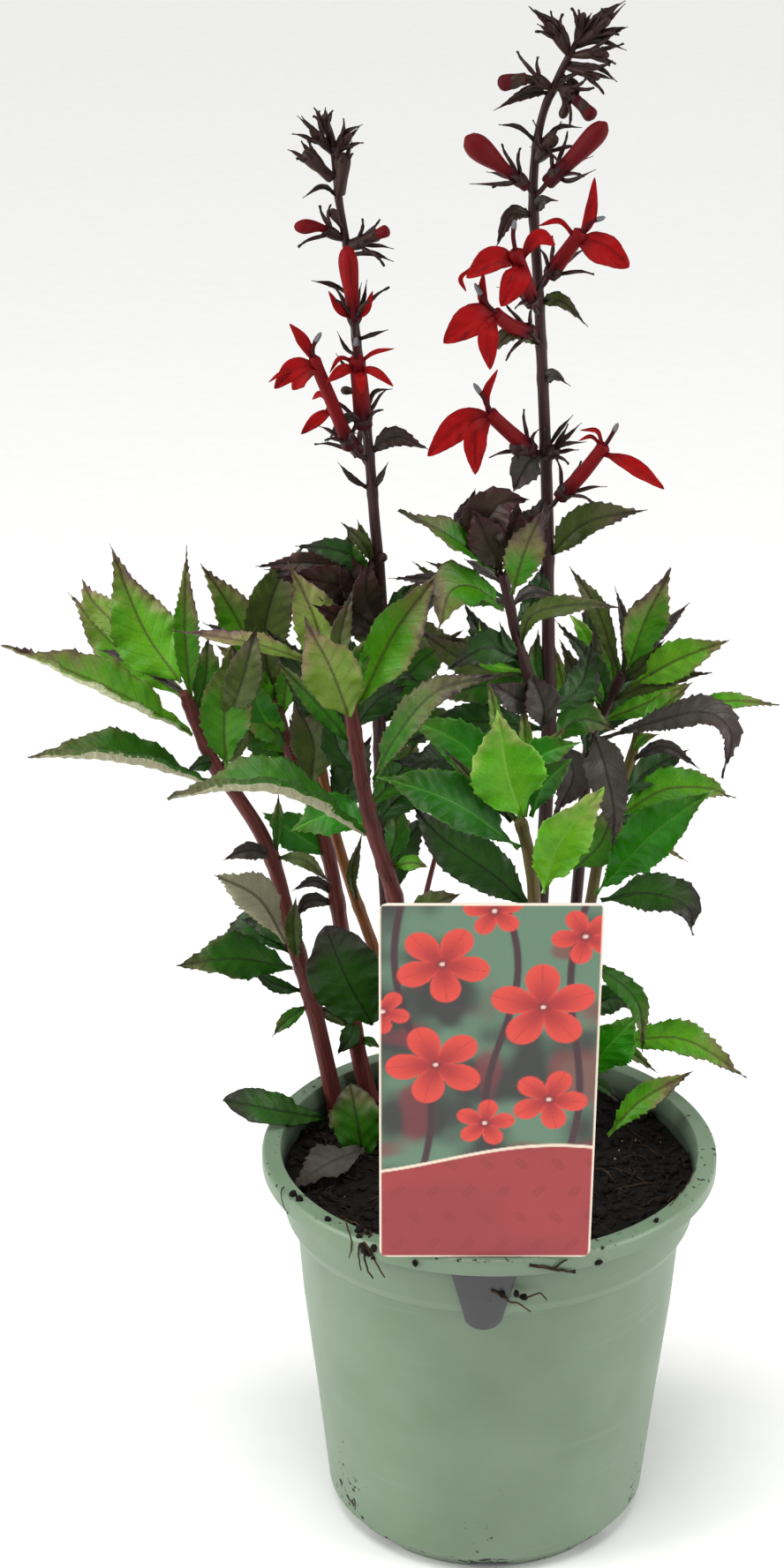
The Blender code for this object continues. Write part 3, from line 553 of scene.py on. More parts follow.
@dataclass(frozen=True)
class PotPlastic:
    """Moulded polypropylene: satin, faintly grained, dusted with dried compost.

    The mould leaves a 1.2 mm orange-peel grain. Dust and splashes gather on the foot and
    on the top of the lip, and a few scuffs run round the wall. Painted shade darkens the
    inner wall above the compost, the collar under the lip and the notches in the foot.
    """

    name: str
    body: str
    dust: str
    stain: str

    def material(self) -> bpy.types.Material:
        """Builds the pot's material; tone.z is how shaded a point is, tone.x how dirty.

        Returns:
            The material.
        """
        s = Shader(self.name)
        place = s.add("TexCoord")["Object"]
        tone = s.add("SeparateXYZ", {0: s.add("Attribute", attribute_name="tone")["Vector"]})
        grain = s.add("TexNoise", {"Vector": place, "Scale": 850.0, "Detail": 2.0})["Fac"]
        cloud = s.add("TexNoise", {"Vector": place, "Scale": 26.0, "Detail": 5.0})["Fac"]
        spots = s.add("TexNoise", {"Vector": place, "Scale": 330.0, "Detail": 4.0})["Fac"]
        band = s.add("Mapping", {0: place, 3: (14.0, 14.0, 420.0)})[0]
        rub = s.add("TexNoise", {"Vector": band, "Scale": 1.0, "Detail": 4.0})["Fac"]
        base = s.add("Mix", {0: s.add("MapRange", {0: cloud, 1: 0.3, 2: 0.7, 3: 0.0,
                                                   4: 0.55})[0],
                             6: linear(self.body), 7: linear(self.dust)},
                     data_type="RGBA")[2]
        scuff = s.add("MapRange", {0: rub, 1: 0.60, 2: 0.74, 3: 0.0, 4: 0.30})[0]
        base = s.add("Mix", {0: scuff, 6: base, 7: linear(self.dust)}, data_type="RGBA")[2]
        patchy = s.add("Math", {0: cloud, 1: tone[0]}, operation="MULTIPLY")[0]
        speck = s.add("Math", {0: patchy, 1: 0.34, 2: spots}, operation="MULTIPLY_ADD")[0]
        dirt = s.add("MapRange", {0: speck, 1: 0.74, 2: 0.80})[0]
        colour = s.add("Mix", {0: dirt, 6: base, 7: linear(self.stain)},
                       data_type="RGBA")[2]
        # Painted shade: tone.z mixes the colour towards near black in the pot's recesses.
        colour = s.add("Mix", {0: tone[2], 6: colour, 7: linear("171a17")},
                       data_type="RGBA")[2]
        relief = s.add("Math", {0: dirt, 1: 0.8, 2: grain}, operation="MULTIPLY_ADD")[0]
        bump = s.add("Bump", {"Strength": 0.16, "Distance": 0.0004, "Height": relief})[0]
        gloss = s.add("MapRange", {0: dirt, 3: 0.40, 4: 0.85})[0]
        skin = s.add("BsdfPrincipled", {
            "Base Color": colour, "Roughness": gloss, "IOR": 1.49, "Normal": bump})[0]
        s.add("OutputMaterial", {0: skin})
        return s.material


@dataclass(frozen=True)
class PeatFinish:
    """Peat compost: near-black crumb and fibre, moist, so dark with small dull glints.

    The crumb is 2 to 4 mm across and carries 0.8 mm grains.
    """

    name: str
    dark: str
    brown: str
    roughness: float = 0.82

    def material(self) -> bpy.types.Material:
        """Builds the peat's material; tone.y lightens a crumb or a fibre.

        Returns:
            The material.
        """
        s = Shader(self.name)
        place = s.add("TexCoord")["Object"]
        tone = s.add("SeparateXYZ", {0: s.add("Attribute", attribute_name="tone")["Vector"]})
        crumb = s.add("TexNoise", {"Vector": place, "Scale": 330.0, "Detail": 6.0,
                                   "Roughness": 0.7})["Fac"]
        share = s.add("MapRange", {0: crumb, 1: 0.42, 2: 0.75})[0]
        share = s.add("Math", {0: share, 1: tone[1]}, operation="ADD", use_clamp=True)[0]
        colour = s.add("Mix", {0: share, 6: linear(self.dark), 7: linear(self.brown)},
                       data_type="RGBA")[2]
        bump = s.add("Bump", {"Strength": 0.9, "Distance": 0.0012, "Height": crumb})[0]
        skin = s.add("BsdfPrincipled", {
            "Base Color": colour, "Roughness": self.roughness, "IOR": 1.36,
            "Specular IOR Level": 0.3, "Normal": bump})[0]
        s.add("OutputMaterial", {0: skin})
        return s.material


@dataclass(frozen=True)
class CardFinish:
    """A printed plastic plant label: a thin white sheet under smooth inks and a varnish.

    The varnish gives an even semi-gloss with a faint 3 mm waviness, and the inks have a
    grain of 0.4 mm. The print's colour is kept at each point of the sheet.
    """

    name: str

    def material(self) -> bpy.types.Material:
        """Builds the card's material, which shows the ink kept at each point.

        Returns:
            The material.
        """
        s = Shader(self.name)
        ink = s.add("Attribute", attribute_name="tone")["Vector"]
        place = s.add("TexCoord")["Object"]
        wave = s.add("TexNoise", {"Vector": place, "Scale": 300.0, "Detail": 1.0})["Fac"]
        screen = s.add("TexNoise", {"Vector": place, "Scale": 2600.0})["Fac"]
        grain = s.add("MapRange", {0: screen, 1: 0.3, 2: 0.7, 3: 0.93, 4: 1.07})[0]
        colour = s.add("VectorMath", {0: ink, "Scale": grain}, operation="SCALE")[0]
        bump = s.add("Bump", {"Strength": 0.05, "Distance": 0.0004, "Height": wave})[0]
        skin = s.add("BsdfPrincipled", {
            "Base Color": colour, "Roughness": 0.34, "IOR": 1.5, "Normal": bump})[0]
        s.add("OutputMaterial", {0: skin})
        return s.material


LEAF_FINISHES = {
    Kind.BRIGHT: LeafFinish("leaf_tissue_bright", "347e02", "70ae1a", "747240", "4b3539",
                            "41361c", "b3b792"),
    Kind.FRESH: LeafFinish("leaf_tissue_fresh", "3a8a00", "6fb314", "8f9c52", "66513a",
                           "7fb93c", "b4c595"),
    Kind.LUSH: LeafFinish("leaf_tissue_lush", "165a00", "2f9200", "3f661a", "3d3a22",
                          "4a8f26", "a6bd8c"),
    Kind.GREEN: LeafFinish("leaf_tissue_green", "1d5202", "458614", "5e6136", "3f2d31",
                           "242c14", "a5a385"),
    Kind.PALE: LeafFinish("leaf_tissue_pale", "5a7a1c", "93ae50", "8a7a56", "5f474b",
                          "463826", "a39f82"),
    Kind.DARK: LeafFinish("leaf_tissue_dark", "17380b", "336419", "34352a", "271d20",
                          "131b0e", "7c8270"),
    Kind.OLIVE: LeafFinish("leaf_tissue_olive", "384816", "5e702c", "575039", "3c2b30",
                           "29271a", "a09a84"),
    Kind.PURPLE: LeafFinish("leaf_tissue_purple", "332f29", "57534a", "49393a", "20171a",
                            "1b1516", "75666a"),
    Kind.DEAD: LeafFinish("leaf_tissue_withered", "3f3e38", "57544e", "3a302a", "2a2420",
                          "2c2823", "55524b", 0.75),
    Kind.YOUNG: LeafFinish("leaf_tissue_young", "2a1813", "433a20", "3c181b", "1b0c0f",
                           "190c0d", "4a2f30"),
}
STEM_FINISHES = {
    "maroon": StemFinish("stem_skin_maroon", "491f1e", "69352f", "241112"),
    "brown": StemFinish("stem_skin_brown", "2a1718", "3e2625", "180e0f"),
    "orange": StemFinish("stem_skin_orange", "5f3420", "80532c", "2e1a12"),
    "olive": StemFinish("stem_skin_olive", "4a3a22", "5f5a2e", "241a12"),
    "calyx": StemFinish("calyx_skin", "2b1517", "39281c", "160d0e", 0.5),
}
ANTHER = StemFinish("anther_grey", "56565a", "77777a", "303034", 0.6)
PETAL = PetalFinish("petal_velvet_scarlet", "8c0406", "380a11", "520408")
POT = PotPlastic("polypropylene_sage_green", "63785f", "798d77", "1d1711")
PEAT = PeatFinish("peat_compost", "060505", "1c130d")
FIBRE = PeatFinish("peat_fibre_and_root", "100b08", "46321f", 0.7)
GRIT = PeatFinish("pale_grit", "5f594e", "8f8778", 0.8)
CARD = CardFinish("printed_label_card")
TONGUE = PotPlastic("label_tongue_grey_plastic", "343536", "3f4041", "221d18")


Finish = LeafFinish | StemFinish | PetalFinish | PotPlastic | PeatFinish | CardFinish


class Palette:
    """Makes each material once and keeps it."""

    def __init__(self) -> None:
        """Starts with nothing made."""
        self.made: dict[str, bpy.types.Material] = {}

    def of(self, finish: Finish) -> bpy.types.Material:
        """The material of a finish, made at its first use.

        Args:
            finish: any of the finishes above.

        Returns:
            The material.
        """
        if finish.name not in self.made:
            self.made[finish.name] = finish.material()
        return self.made[finish.name]


PALETTE = Palette()


# Forms of the plant


def tube(points: Array, radii: Array, sides: int) -> tuple[Array, Array]:
    """A round skin along a path: middle + radius (cos a side + sin a over).

    Args:
        points: the middle line, in metres.
        radii: the radius at each point, in millimetres.
        sides: how many points go round it.

    Returns:
        The rings, and at each point the millimetres along and its offset from the middle.
    """
    ahead = unit(np.gradient(points, axis=0))
    side = unit(np.cross(ahead, (0.0, 1.0, 0.05)))
    over = np.cross(side, ahead)
    angle = np.linspace(0.0, 2.0 * math.pi, sides, endpoint=False)[None, :, None]
    offset = np.asarray(radii)[:, None, None]
    around = np.cos(angle) * side[:, None] + np.sin(angle) * over[:, None]
    rings = points[:, None] + around * offset * MM
    long = np.broadcast_to(travelled(points)[:, None, None], (*rings.shape[:2], 1))
    turns = np.broadcast_to(np.cos(angle) * offset, (*rings.shape[:2], 1))
    other = np.broadcast_to(np.sin(angle) * offset, (*rings.shape[:2], 1))
    return rings, np.concatenate([long, turns, other], axis=2)


@dataclass(frozen=True)
class Blade:
    """A leaf, bract, sepal or petal: a thin closed shell along a bent midline.

    Its half width at the share t is half the width times t^a (1-t)^b, scaled to 1 at its
    peak, which the belly places; the point is a + b. The two halves rise from the midrib
    by the fold. Saw teeth point to the tip. Roll lifts the outer part of either half, in
    millimetres, so that a strip of the underside shows. Side reddens one half more than
    the other.
    """

    kind: Kind
    width: float
    places: Sequence[Place]
    facing: Place = (0.0, -1.0, 0.4)
    belly: float = 0.5
    fold: float = 0.22
    roll: tuple[float, float] = (0.0, 0.0)
    side: float = 0.0
    # The tone is flush, light and painted shade, the last darkening a leaf that lies in shadow.
    tone: Place = (0.0, 0.3, 0.0)
    teeth: float = 0.85
    wave: float = 0.22
    stalk: float = 1.8
    gap: float = 3.3
    taper: float = 0.4
    point: float = 2.75

    def saw(self, along: Array, seed: float) -> Array:
        """Teeth along an edge: in each gap the edge swells as share^1.7, then drops.

        Args:
            along: millimetres from the base.
            seed: a number that differs from edge to edge.

        Returns:
            How far the edge stands out, in millimetres.
        """
        phase = along / self.gap + 0.45 * np.sin(along / 6.0 + seed)
        tooth = np.floor(phase)
        height = 0.35 + 1.3 * scatter(tooth, seed)
        reach = self.teeth * min(1.0, self.width / 11.0)
        return reach * height * ((phase - tooth) ** 1.7 - 0.3)

    def lift(self, along: Array, across: Array, share: Array, seed: float) -> Array:
        """How far the blade stands above its flat: fold, ruffle, quilting and roll.

        Args:
            along: millimetres from the base.
            across: millimetres from the midrib, below 0 on the left.
            share: place across, from -1 to 1.
            seed: a number that differs from leaf to leaf.

        Returns:
            The height in millimetres.
        """
        out = np.abs(share)
        side = np.where(share > 0, 1.0, 0.0)
        rise = self.fold * np.abs(across) ** 1.15
        ruffle = np.sin(along * (2 * math.pi / RUFFLE_LONG) + seed * 5.0 + side * 2.2)
        ruffle += 0.5 * np.sin(along * (2 * math.pi / RUFFLE_SHORT) + seed * 9.0 - side)
        rise = rise + self.wave * 0.5 * self.width * out ** 2 * ruffle * 0.55
        vein = (along - VEIN_SWEEP * np.abs(across) + VEIN_LAG * side) / VEIN_GAP
        quilt = -QUILT * np.cos(2 * math.pi * vein) * 4 * out * (1 - out)
        rolled = np.where(share > 0, self.roll[1], self.roll[0])
        run = self.run(along)
        rolled = rolled * ((out - 0.4) / 0.6).clip(0) ** 1.6 * 4 * run * (1 - run)
        return rise + quilt + rolled - GROOVE * np.exp(-(across / GROOVE_WIDTH) ** 2)

    @staticmethod
    def run(along: Array) -> Array:
        """Place along the blade as a share of its length."""
        return along / max(float(along.max()), 1e-6)

    def shell(self, seed: float, points: Array | None = None) -> tuple[Array, ...]:
        """The closed shell of the blade.

        Args:
            seed: a number that differs from leaf to leaf.
            points: the midline in metres, where the places don't give it.

        Returns:
            Rings, grain and size vectors for a skin.
        """
        line = seen(self.places) if points is None else points
        length = travelled(spline(line, np.linspace(0, 1, 40)))[-1]
        columns = int(np.clip(self.width, 5, 17)) // 2 * 2 + 1
        rows = int(np.clip(length * (1.0 if self.width < 4 else 1.8), 12, 150))
        t = np.linspace(0.0, 1.0, rows)
        middle = spline(line, t)
        along = travelled(middle)
        ahead = unit(np.gradient(middle, axis=0))
        across = unit(np.cross(ahead, self.facing))
        over = np.cross(across, ahead)
        rise, drop = self.belly * self.point, (1 - self.belly) * self.point
        peak = self.belly ** rise * (1 - self.belly) ** drop
        half = 0.5 * self.width * t ** rise * (1 - t) ** drop / peak
        half = half * (1 - self.taper * smooth(0.55, 1.0, t)) * (
            1 - 0.5 * self.taper * smooth(0.3, 0.0, t))
        window = smooth(0.06, 0.25, t) * smooth(1.0, 0.9, t)
        half = np.maximum(half, 0.5 * min(self.stalk, self.width) * (1 - t))
        left = np.maximum(half + window * self.saw(along, seed), 0.12)
        right = np.maximum(half + window * self.saw(along, seed + 3.7), 0.12)
        share = np.sin(np.linspace(-1, 1, columns) * math.pi / 2 * 0.86)
        share = (share / share[-1])[None, :]
        flat = np.where(share < 0, left[:, None], right[:, None]) * share
        long = np.broadcast_to(along[:, None], flat.shape)
        height = self.lift(long, flat, np.broadcast_to(share, flat.shape), seed)
        rolled = np.where(share > 0, self.roll[1], self.roll[0])
        bent = 4 * t * (1 - t)
        pull = 0.5 * rolled * ((np.abs(share) - 0.6) / 0.4).clip(0) ** 1.6 * np.sign(share)
        body = EDGE_THICK + MIDDLE_MORE * (1 - np.abs(share) ** 3)
        rib = RIB * np.exp(-(flat / RIB_WIDTH) ** 2) * (1 - 0.6 * t[:, None])
        moved = flat - pull * bent[:, None]
        shapes = [middle[:, None] + (across[:, None] * wide[..., None]
                                     + over[:, None] * up[..., None]) * MM
                  for wide, up in ((moved, height + body),
                                   (moved[:, ::-1], (height - body - rib)[:, ::-1]))]
        rings = np.concatenate(shapes, axis=1)
        both = np.concatenate([np.broadcast_to(share, flat.shape),
                               np.broadcast_to(share, flat.shape)[:, ::-1]], axis=1)
        under = np.zeros(both.shape)
        under[:, columns:] = 1.0
        grain = np.stack([np.broadcast_to(t[:, None], both.shape), both, under], -1)
        wide = np.concatenate([flat, flat[:, ::-1]], axis=1)
        size = np.stack([np.broadcast_to(along[:, None], both.shape) + seed * 37.0 % 58.0,
                         wide, np.full(both.shape, seed * 61.0)], -1)
        return rings, grain, size

    def grow(self, skin: Skin, seed: float, points: Array | None = None) -> None:
        """Adds the blade to a skin, in its kind's finish.

        Args:
            skin: what it is added to.
            seed: a number that differs from leaf to leaf.
            points: the midline in metres, where the places don't give it.
        """
        rings, grain, size = self.shell(seed, points)
        tone = np.zeros_like(rings) + self.tone
        tone[..., 0] += self.side * grain[..., 1]
        skin.rings(rings, PALETTE.of(LEAF_FINISHES[self.kind]), grain, size, tone)


@dataclass(frozen=True)
class Stalk:
    """A round stem that tapers, swells where leaves join it and flares at its foot."""

    finish: str
    first: float
    last: float
    places: Sequence[Place]
    sides: int = 14
    sunk: float = 6.0

    def grow(self, skin: Skin, seed: float, joints: Array | None = None) -> None:
        """Adds the stem to a skin.

        The radius is a straight taper, times 1 + 0.13 exp(-(d / 2.4)^2) for each joint d
        millimetres away, and a stem sunk in the compost flares by exp(-d / 8) at its foot.
        Five faint ribs run along it, whose crests wander round it.

        Args:
            skin: what it is added to.
            seed: a number that differs from stem to stem.
            joints: where leaves join it, as rows in metres.
        """
        line = seen(self.places)
        if self.sunk:
            line = np.concatenate([line[:1] - unit(line[1:2] - line[:1]) * self.sunk * MM,
                                   line])
        length = travelled(spline(line, np.linspace(0, 1, 60)))[-1]
        t = np.linspace(0.0, 1.0, int(max(20, length * 0.75)))
        points = spline(line, t)
        along = travelled(points)
        bend = np.stack([lumps(np.stack([along, t * 0, t * 0 + seed], 1), 19.0, k)
                         for k in (1.0, 2.0, 3.0)], 1)
        points = points + bend * 0.2 * MM
        radii = self.first + (self.last - self.first) * t
        if joints is not None and len(joints):
            apart = np.linalg.norm(points[:, None] - joints[None], axis=2)
            at = along[apart.argmin(axis=0)]
            radii = radii * (1 + JOINT_SWELL * np.exp(
                -((along[:, None] - at[None]) / JOINT_REACH) ** 2).sum(axis=1).clip(0, 1.0))
        if self.sunk:
            radii = radii + FLARE * np.exp(-along / FLARE_REACH)
        radii = np.where(t > 0.985, radii * 0.8, radii)
        rings, size = tube(points, radii, self.sides)
        turn = np.arctan2(size[..., 2], size[..., 1])
        rib = 1 + 0.03 * np.cos(5 * turn + along[:, None] / 21.0)
        rings = points[:, None] + (rings - points[:, None]) * rib[..., None]
        skin.rings(rings, PALETTE.of(STEM_FINISHES[self.finish]), None,
                   size + (0.0, 0.0, seed * 11.0))


@dataclass(frozen=True)
class Bud:
    """A closed flower or a bud: a narrow foot that swells to a rounded head."""

    radius: float
    places: Sequence[Place]
    dark: bool = False
    foot: float = 0.5
    deep: float = 0.45

    def grow(self, skin: Skin, seed: float) -> None:
        """Adds the bud: its radius steps up softly and is closed by a quarter ellipse.

        Args:
            skin: what it is added to.
            seed: a number that differs from bud to bud.
        """
        t = np.linspace(0.0, 1.0, 22)
        points = spline(seen(self.places), t)
        swell = self.foot + (1 - self.foot) * smooth(0.32, 0.8, t)
        radii = self.radius * swell * np.sqrt(
            np.clip(1.0 - ((t - 0.78) / 0.225).clip(0, 1) ** 2, 0.004, 1))
        rings, size = tube(points, radii, 12)
        turn = np.arctan2(size[..., 2], size[..., 1])
        crease = 1 - 0.10 * np.abs(np.sin(2.5 * turn + seed)) ** 4
        rings = points[:, None] + (rings - points[:, None]) * crease[..., None]
        grain = np.stack([np.broadcast_to(t[:, None], turn.shape), turn * 0, turn * 0], -1)
        finish = PALETTE.of(STEM_FINISHES["calyx"] if self.dark else PETAL)
        skin.rings(rings, finish, grain, size, (0.0, 0.2, 0.0 if self.dark else self.deep))


@dataclass(frozen=True)
class Calyx:
    """The dark cup under a flower, and the narrow sepals that stand out round it."""

    radius: float
    places: Sequence[Place]
    sepals: int = 5
    reach: float = 10.0
    spread: float = 0.75

    def grow(self, skin: Skin, seed: float) -> None:
        """Adds a cup along the places and sepals that lean out from its mouth.

        The cup's radius is its own times 0.45 + 0.6 sin(0.62 pi t) at the share t.

        Args:
            skin: what it is added to.
            seed: a number that differs from calyx to calyx.
        """
        t = np.linspace(0.0, 1.0, 9)
        points = spline(seen(self.places), t)
        radii = self.radius * (0.45 + 0.6 * np.sin(t * math.pi * 0.62))
        rings, size = tube(points, radii, 12)
        skin.rings(rings, PALETTE.of(STEM_FINISHES["calyx"]), None, size)
        ahead = unit(points[-1] - points[0])
        side = unit(np.cross(ahead, (0.2, 1.0, 0.1)))
        over = np.cross(side, ahead)
        for index in range(self.sepals):
            turn = 2 * math.pi * (index + 0.37 * seed % 1) / self.sepals
            out = math.cos(turn) * side + math.sin(turn) * over
            reach = self.reach * (0.8 + 0.4 * float(scatter(np.array(index + seed))))
            start = points[-3] + out * self.radius * 0.7 * MM
            middle = start + (ahead * 0.55 + out * self.spread * 0.6) * reach * MM
            end = start + (ahead + out * self.spread * 1.5) * reach * 0.82 * MM
            line = np.stack([start, middle, end])
            Blade(Kind.YOUNG, 1.7, (), tuple((out + (0.01, -0.02, 0.3)).tolist()), 0.3, 0.3,
                  teeth=0.0, wave=0.05, stalk=1.4).grow(skin, seed + index, line)


@dataclass(frozen=True)
class Petal:
    """One lobe of a flower: a petal blade with a fold along its middle."""

    width: float
    places: Sequence[Place]
    facing: Place = (0.1, -1.0, 0.5)

    def grow(self, skin: Skin, seed: float) -> None:
        """Adds the petal, smooth edged and a little ruffled.

        Args:
            skin: what it is added to.
            seed: a number that differs from petal to petal.
        """
        blade = Blade(Kind.YOUNG, self.width, self.places, self.facing, 0.6, 0.14,
                      teeth=0.12, wave=0.24, stalk=2.6, taper=0.35, point=1.6)
        rings, grain, size = blade.shell(seed)
        skin.rings(rings, PALETTE.of(PETAL), grain, size, (0.0, 0.4, 0.0))


@dataclass(frozen=True)
class Flower:
    """An open flower: calyx, split tube, lobes and the column that stands out of it."""

    radius: float
    tube: Sequence[Place]
    petals: Sequence[Petal]
    column: Sequence[Place] = ()
    reach: float = 10.0

    def grow(self, skin: Skin, seed: float) -> None:
        """Adds all of it: the tube narrows by a sixth, then flares a little at its mouth.

        Args:
            skin: what it is added to.
            seed: a number that differs from flower to flower.
        """
        line = seen(self.tube)
        t = np.linspace(0.0, 1.0, 26)
        points = spline(line, t)
        radii = self.radius * (1.25 - 0.2 * t + 0.15 * smooth(0.85, 1.0, t))
        radii[-1] *= 0.55
        rings, size = tube(points, radii, 14)
        turn = np.arctan2(size[..., 2], size[..., 1])
        ribbed = 1 + 0.07 * np.cos(5 * turn + seed)
        rings = points[:, None] + (rings - points[:, None]) * ribbed[..., None]
        grain = np.stack([np.broadcast_to(t[:, None], turn.shape), turn * 0, turn * 0], -1)
        skin.rings(rings, PALETTE.of(PETAL), grain, size, (0.0, 0.0, 0.5))
        cup = [self.tube[0], tuple((np.array(self.tube[0]) * 0.72
                                    + np.array(self.tube[1]) * 0.28).tolist())]
        Calyx(self.radius * 1.35, cup, reach=self.reach).grow(skin, seed)
        for index, petal in enumerate(self.petals):
            petal.grow(skin, seed + index)
        if self.column:
            share = np.linspace(0.0, 1.0, 16)
            points = spline(seen(self.column), share)
            radii = np.where(share < 0.72, 0.8, 1.0) * np.sqrt(
                np.clip(1 - ((share - 0.8) / 0.21).clip(0, 1) ** 2, 0.02, 1))
            rings, size = tube(points, radii, 10)
            skin.rings(rings[:12], PALETTE.of(PETAL), None, size[:12], (0.0, 0.0, 0.3))
            skin.rings(rings[11:], PALETTE.of(ANTHER), None, size[11:])


@dataclass(frozen=True)
class LeafyStem:
    """A stem with the small leaves, bracts, buds and cups that are one piece with it."""

    slot: str
    stalk: Stalk
    blades: Sequence[Blade]
    more: Sequence[Bud | Calyx | Stalk] = ()

    def build(self, name: str) -> None:
        """Builds and dresses the piece that stands for a solid.

        Args:
            name: the solid's name.
        """
        skin = Skin()
        seed = float(sum(map(ord, name)) % 97) / 10.0
        joints = np.concatenate([seen(blade.places[:1]) for blade in self.blades])
        self.stalk.grow(skin, seed, joints)
        for index, blade in enumerate(self.blades):
            blade.grow(skin, seed + 0.61 * index)
        for index, thing in enumerate(self.more):
            thing.grow(skin, seed + 0.37 * index)
        skin.make(f"{name}_dressed", self.slot, name)


Part = Flower | Petal | Bud | Calyx | Blade


# Pot, compost and label


def eased(profile: Array, radius: float) -> Array:
    """A profile with each corner rounded by (1-t)^2 start + 2t(1-t) corner + t^2 end.

    Args:
        profile: rows of radius and height.
        radius: how far from a corner its curve starts and ends.

    Returns:
        The profile, with five rows in place of each inner one.
    """
    rows = [profile[:1]]
    for before, corner, after in zip(profile[:-2], profile[1:-1], profile[2:]):
        back, on = before - corner, after - corner
        near = [min(radius, 0.45 * float(np.linalg.norm(v))) for v in (back, on)]
        start = corner + unit(back) * near[0]
        end = corner + unit(on) * near[1]
        t = np.linspace(0.0, 1.0, 5)[:, None]
        rows.append((1 - t) ** 2 * start + 2 * t * (1 - t) * corner + t ** 2 * end)
    return np.concatenate([*rows, profile[-1:]])


def turned(profile: Array, sides: int) -> Array:
    """Rings round the Z axis: (r cos a, r sin a, z) for each row of a profile.

    Args:
        profile: rows of radius and height, in millimetres.
        sides: how many points go round.

    Returns:
        One ring of points in metres for each row.
    """
    angle = np.linspace(0.0, 2.0 * math.pi, sides, endpoint=False)
    radius, height = profile[:, :1], profile[:, 1:]
    return np.stack([radius * np.cos(angle), radius * np.sin(angle),
                     np.broadcast_to(height, (len(profile), sides))], axis=-1) * MM


@dataclass
class Pot:
    """The nursery pot: a thin turned wall, a stepped collar, a folded lip, a notched foot.

    A splash of dirt is its middle x and z, its width and height, and its strength.
    """

    rim: float = 90.0
    top: float = 160.6
    foot: float = 57.0
    sides: int = 192
    notches: int = 8
    notch_width: float = 15.0
    notch_height: float = 4.0
    last_outer_row: int = 92
    splashes: Sequence[tuple[float, ...]] = (
        (-56, 14, 5, 12, 1.9), (-48, 5, 9, 4, 1.4), (56, 26, 4.5, 7, 2.3), (52, 35, 3, 3, 1.9),
        (58, 14, 3, 6, 1.7), (-2, 6, 10, 4, 1.4), (40, 5, 7, 3, 1.2), (20, 3, 30, 2, 0.9),
        (-30, 6, 20, 3, 0.8))

    def profile(self) -> Array:
        """Rows of radius and height, from under the base up the outside and down the inside.

        Returns:
            The rows, in millimetres.
        """
        outside = ((0.1, 0.0), (30.0, 0.0), (50.0, 0.0), (53.6, 0.0), (54.6, 0.0),
                   (self.foot, 0.0), (60.4, 4.2), (61.8, 6.0), (64.2, 9.0), (68.8, 52.0),
                   (74.0, 97.0), (76.5, 128.8), (79.0, 131.2), (81.2, 135.4),
                   (82.3, 147.0), (83.2, 158.9), (88.7, 158.8), (88.8, 153.8),
                   (self.rim, 153.8), (self.rim, 159.2), (88.9, self.top),
                   (82.6, self.top))
        inside = ((81.4, 153.0), (79.9, 136.4), (77.9, 132.6), (75.1, 129.6),
                  (62.8, 9.9), (60.2, 7.0), (56.2, 1.6), (52.2, 1.6), (0.1, 1.6))
        return eased(np.array(outside + inside), 0.55)

    def build(self) -> None:
        """Builds the pot, lifting the foot into notches, marking where dirt lies and where painted shade
        darkens it.
        """
        rings = turned(self.profile(), self.sides)
        radius = np.hypot(rings[..., 0], rings[..., 1]) / MM
        turn = np.arctan2(rings[..., 1], rings[..., 0])
        step = 2 * math.pi / self.notches
        off = np.abs((turn + math.pi / 2 + step / 2) % step - step / 2) * 60.0
        notch = smooth(0.5 * self.notch_width + 0.8, 0.5 * self.notch_width - 0.8, off)
        height = rings[..., 2] / MM
        low = (height < self.notch_height) & (radius > 54.2)
        inner = (height > 1.0) & (height < 7.5) & (radius < 60.5) & (radius > 54.2)
        lifted = np.where(low, self.notch_height + 0.15 * (radius - 60.0), height)
        lifted = np.where(inner, np.maximum(height, self.notch_height + 1.5), lifted)
        height = height + (lifted - height) * notch * (low | inner)
        wobble = 0.12 * lumps(rings / MM, 45.0, 3.0)
        rings = rings * (1 + (wobble / self.rim)[..., None] * (1, 1, 0))
        rings[..., 2] = height * MM
        row = np.arange(len(rings))[:, None]
        inside = row > self.last_outer_row
        # Painted shade: the inner wall darker down to the compost, the foot's notches and the collar
        # under the lip.
        depth = np.where(inside, smooth(157.0, 150.0, height), 0.0)
        depth = np.maximum(depth, (low & ~inside) * notch * 0.85)
        depth = np.maximum(depth, np.where(~inside & (height > 150) & (radius < 88.7),
                                           0.55 * smooth(160.0, 158.0, height), 0.0))
        dirt = 0.35 * smooth(9.0, 1.0, height) + 0.75 * (height > 159.5)
        for x, z, wide, high, heavy in self.splashes:
            spot = np.exp(-((rings[..., 0] / MM - x) / wide) ** 2 - ((height - z) / high) ** 2)
            dirt = dirt + heavy * spot * (rings[..., 1] < 0)
        tone = np.stack([dirt, dirt * 0, depth], -1)
        skin = Skin()
        skin.rings(rings, PALETTE.of(POT), None, None, tone)
        skin.make("pot_moulded", "pot", "pot")


# Crumbs that lie on the pot's lip and the label's tongue, by their real places.
LIP_CRUMBS = (
    (-48.5, 157.5, -76.5), (-49.5, 158.5, -75), (-47, 156, -77.3), (-45.5, 159, -78),
    (-51, 160.5, -72), (-47.5, 161.3, -70), (-50.5, 161.3, -68), (-45.5, 154.6, -77.8),
    (-77, 161.3, -41), (-74, 161.3, -45), (-43.5, 151, -71), (8.3, 143.5, -84.9),
    (11, 141.5, -84.4), (3, 143, -84.7), (39, 155, -81.3), (-30, 157, -85.2), (62, 161.2, -61),
    (-63, 161.2, -60), (29, 150.5, -78.5))

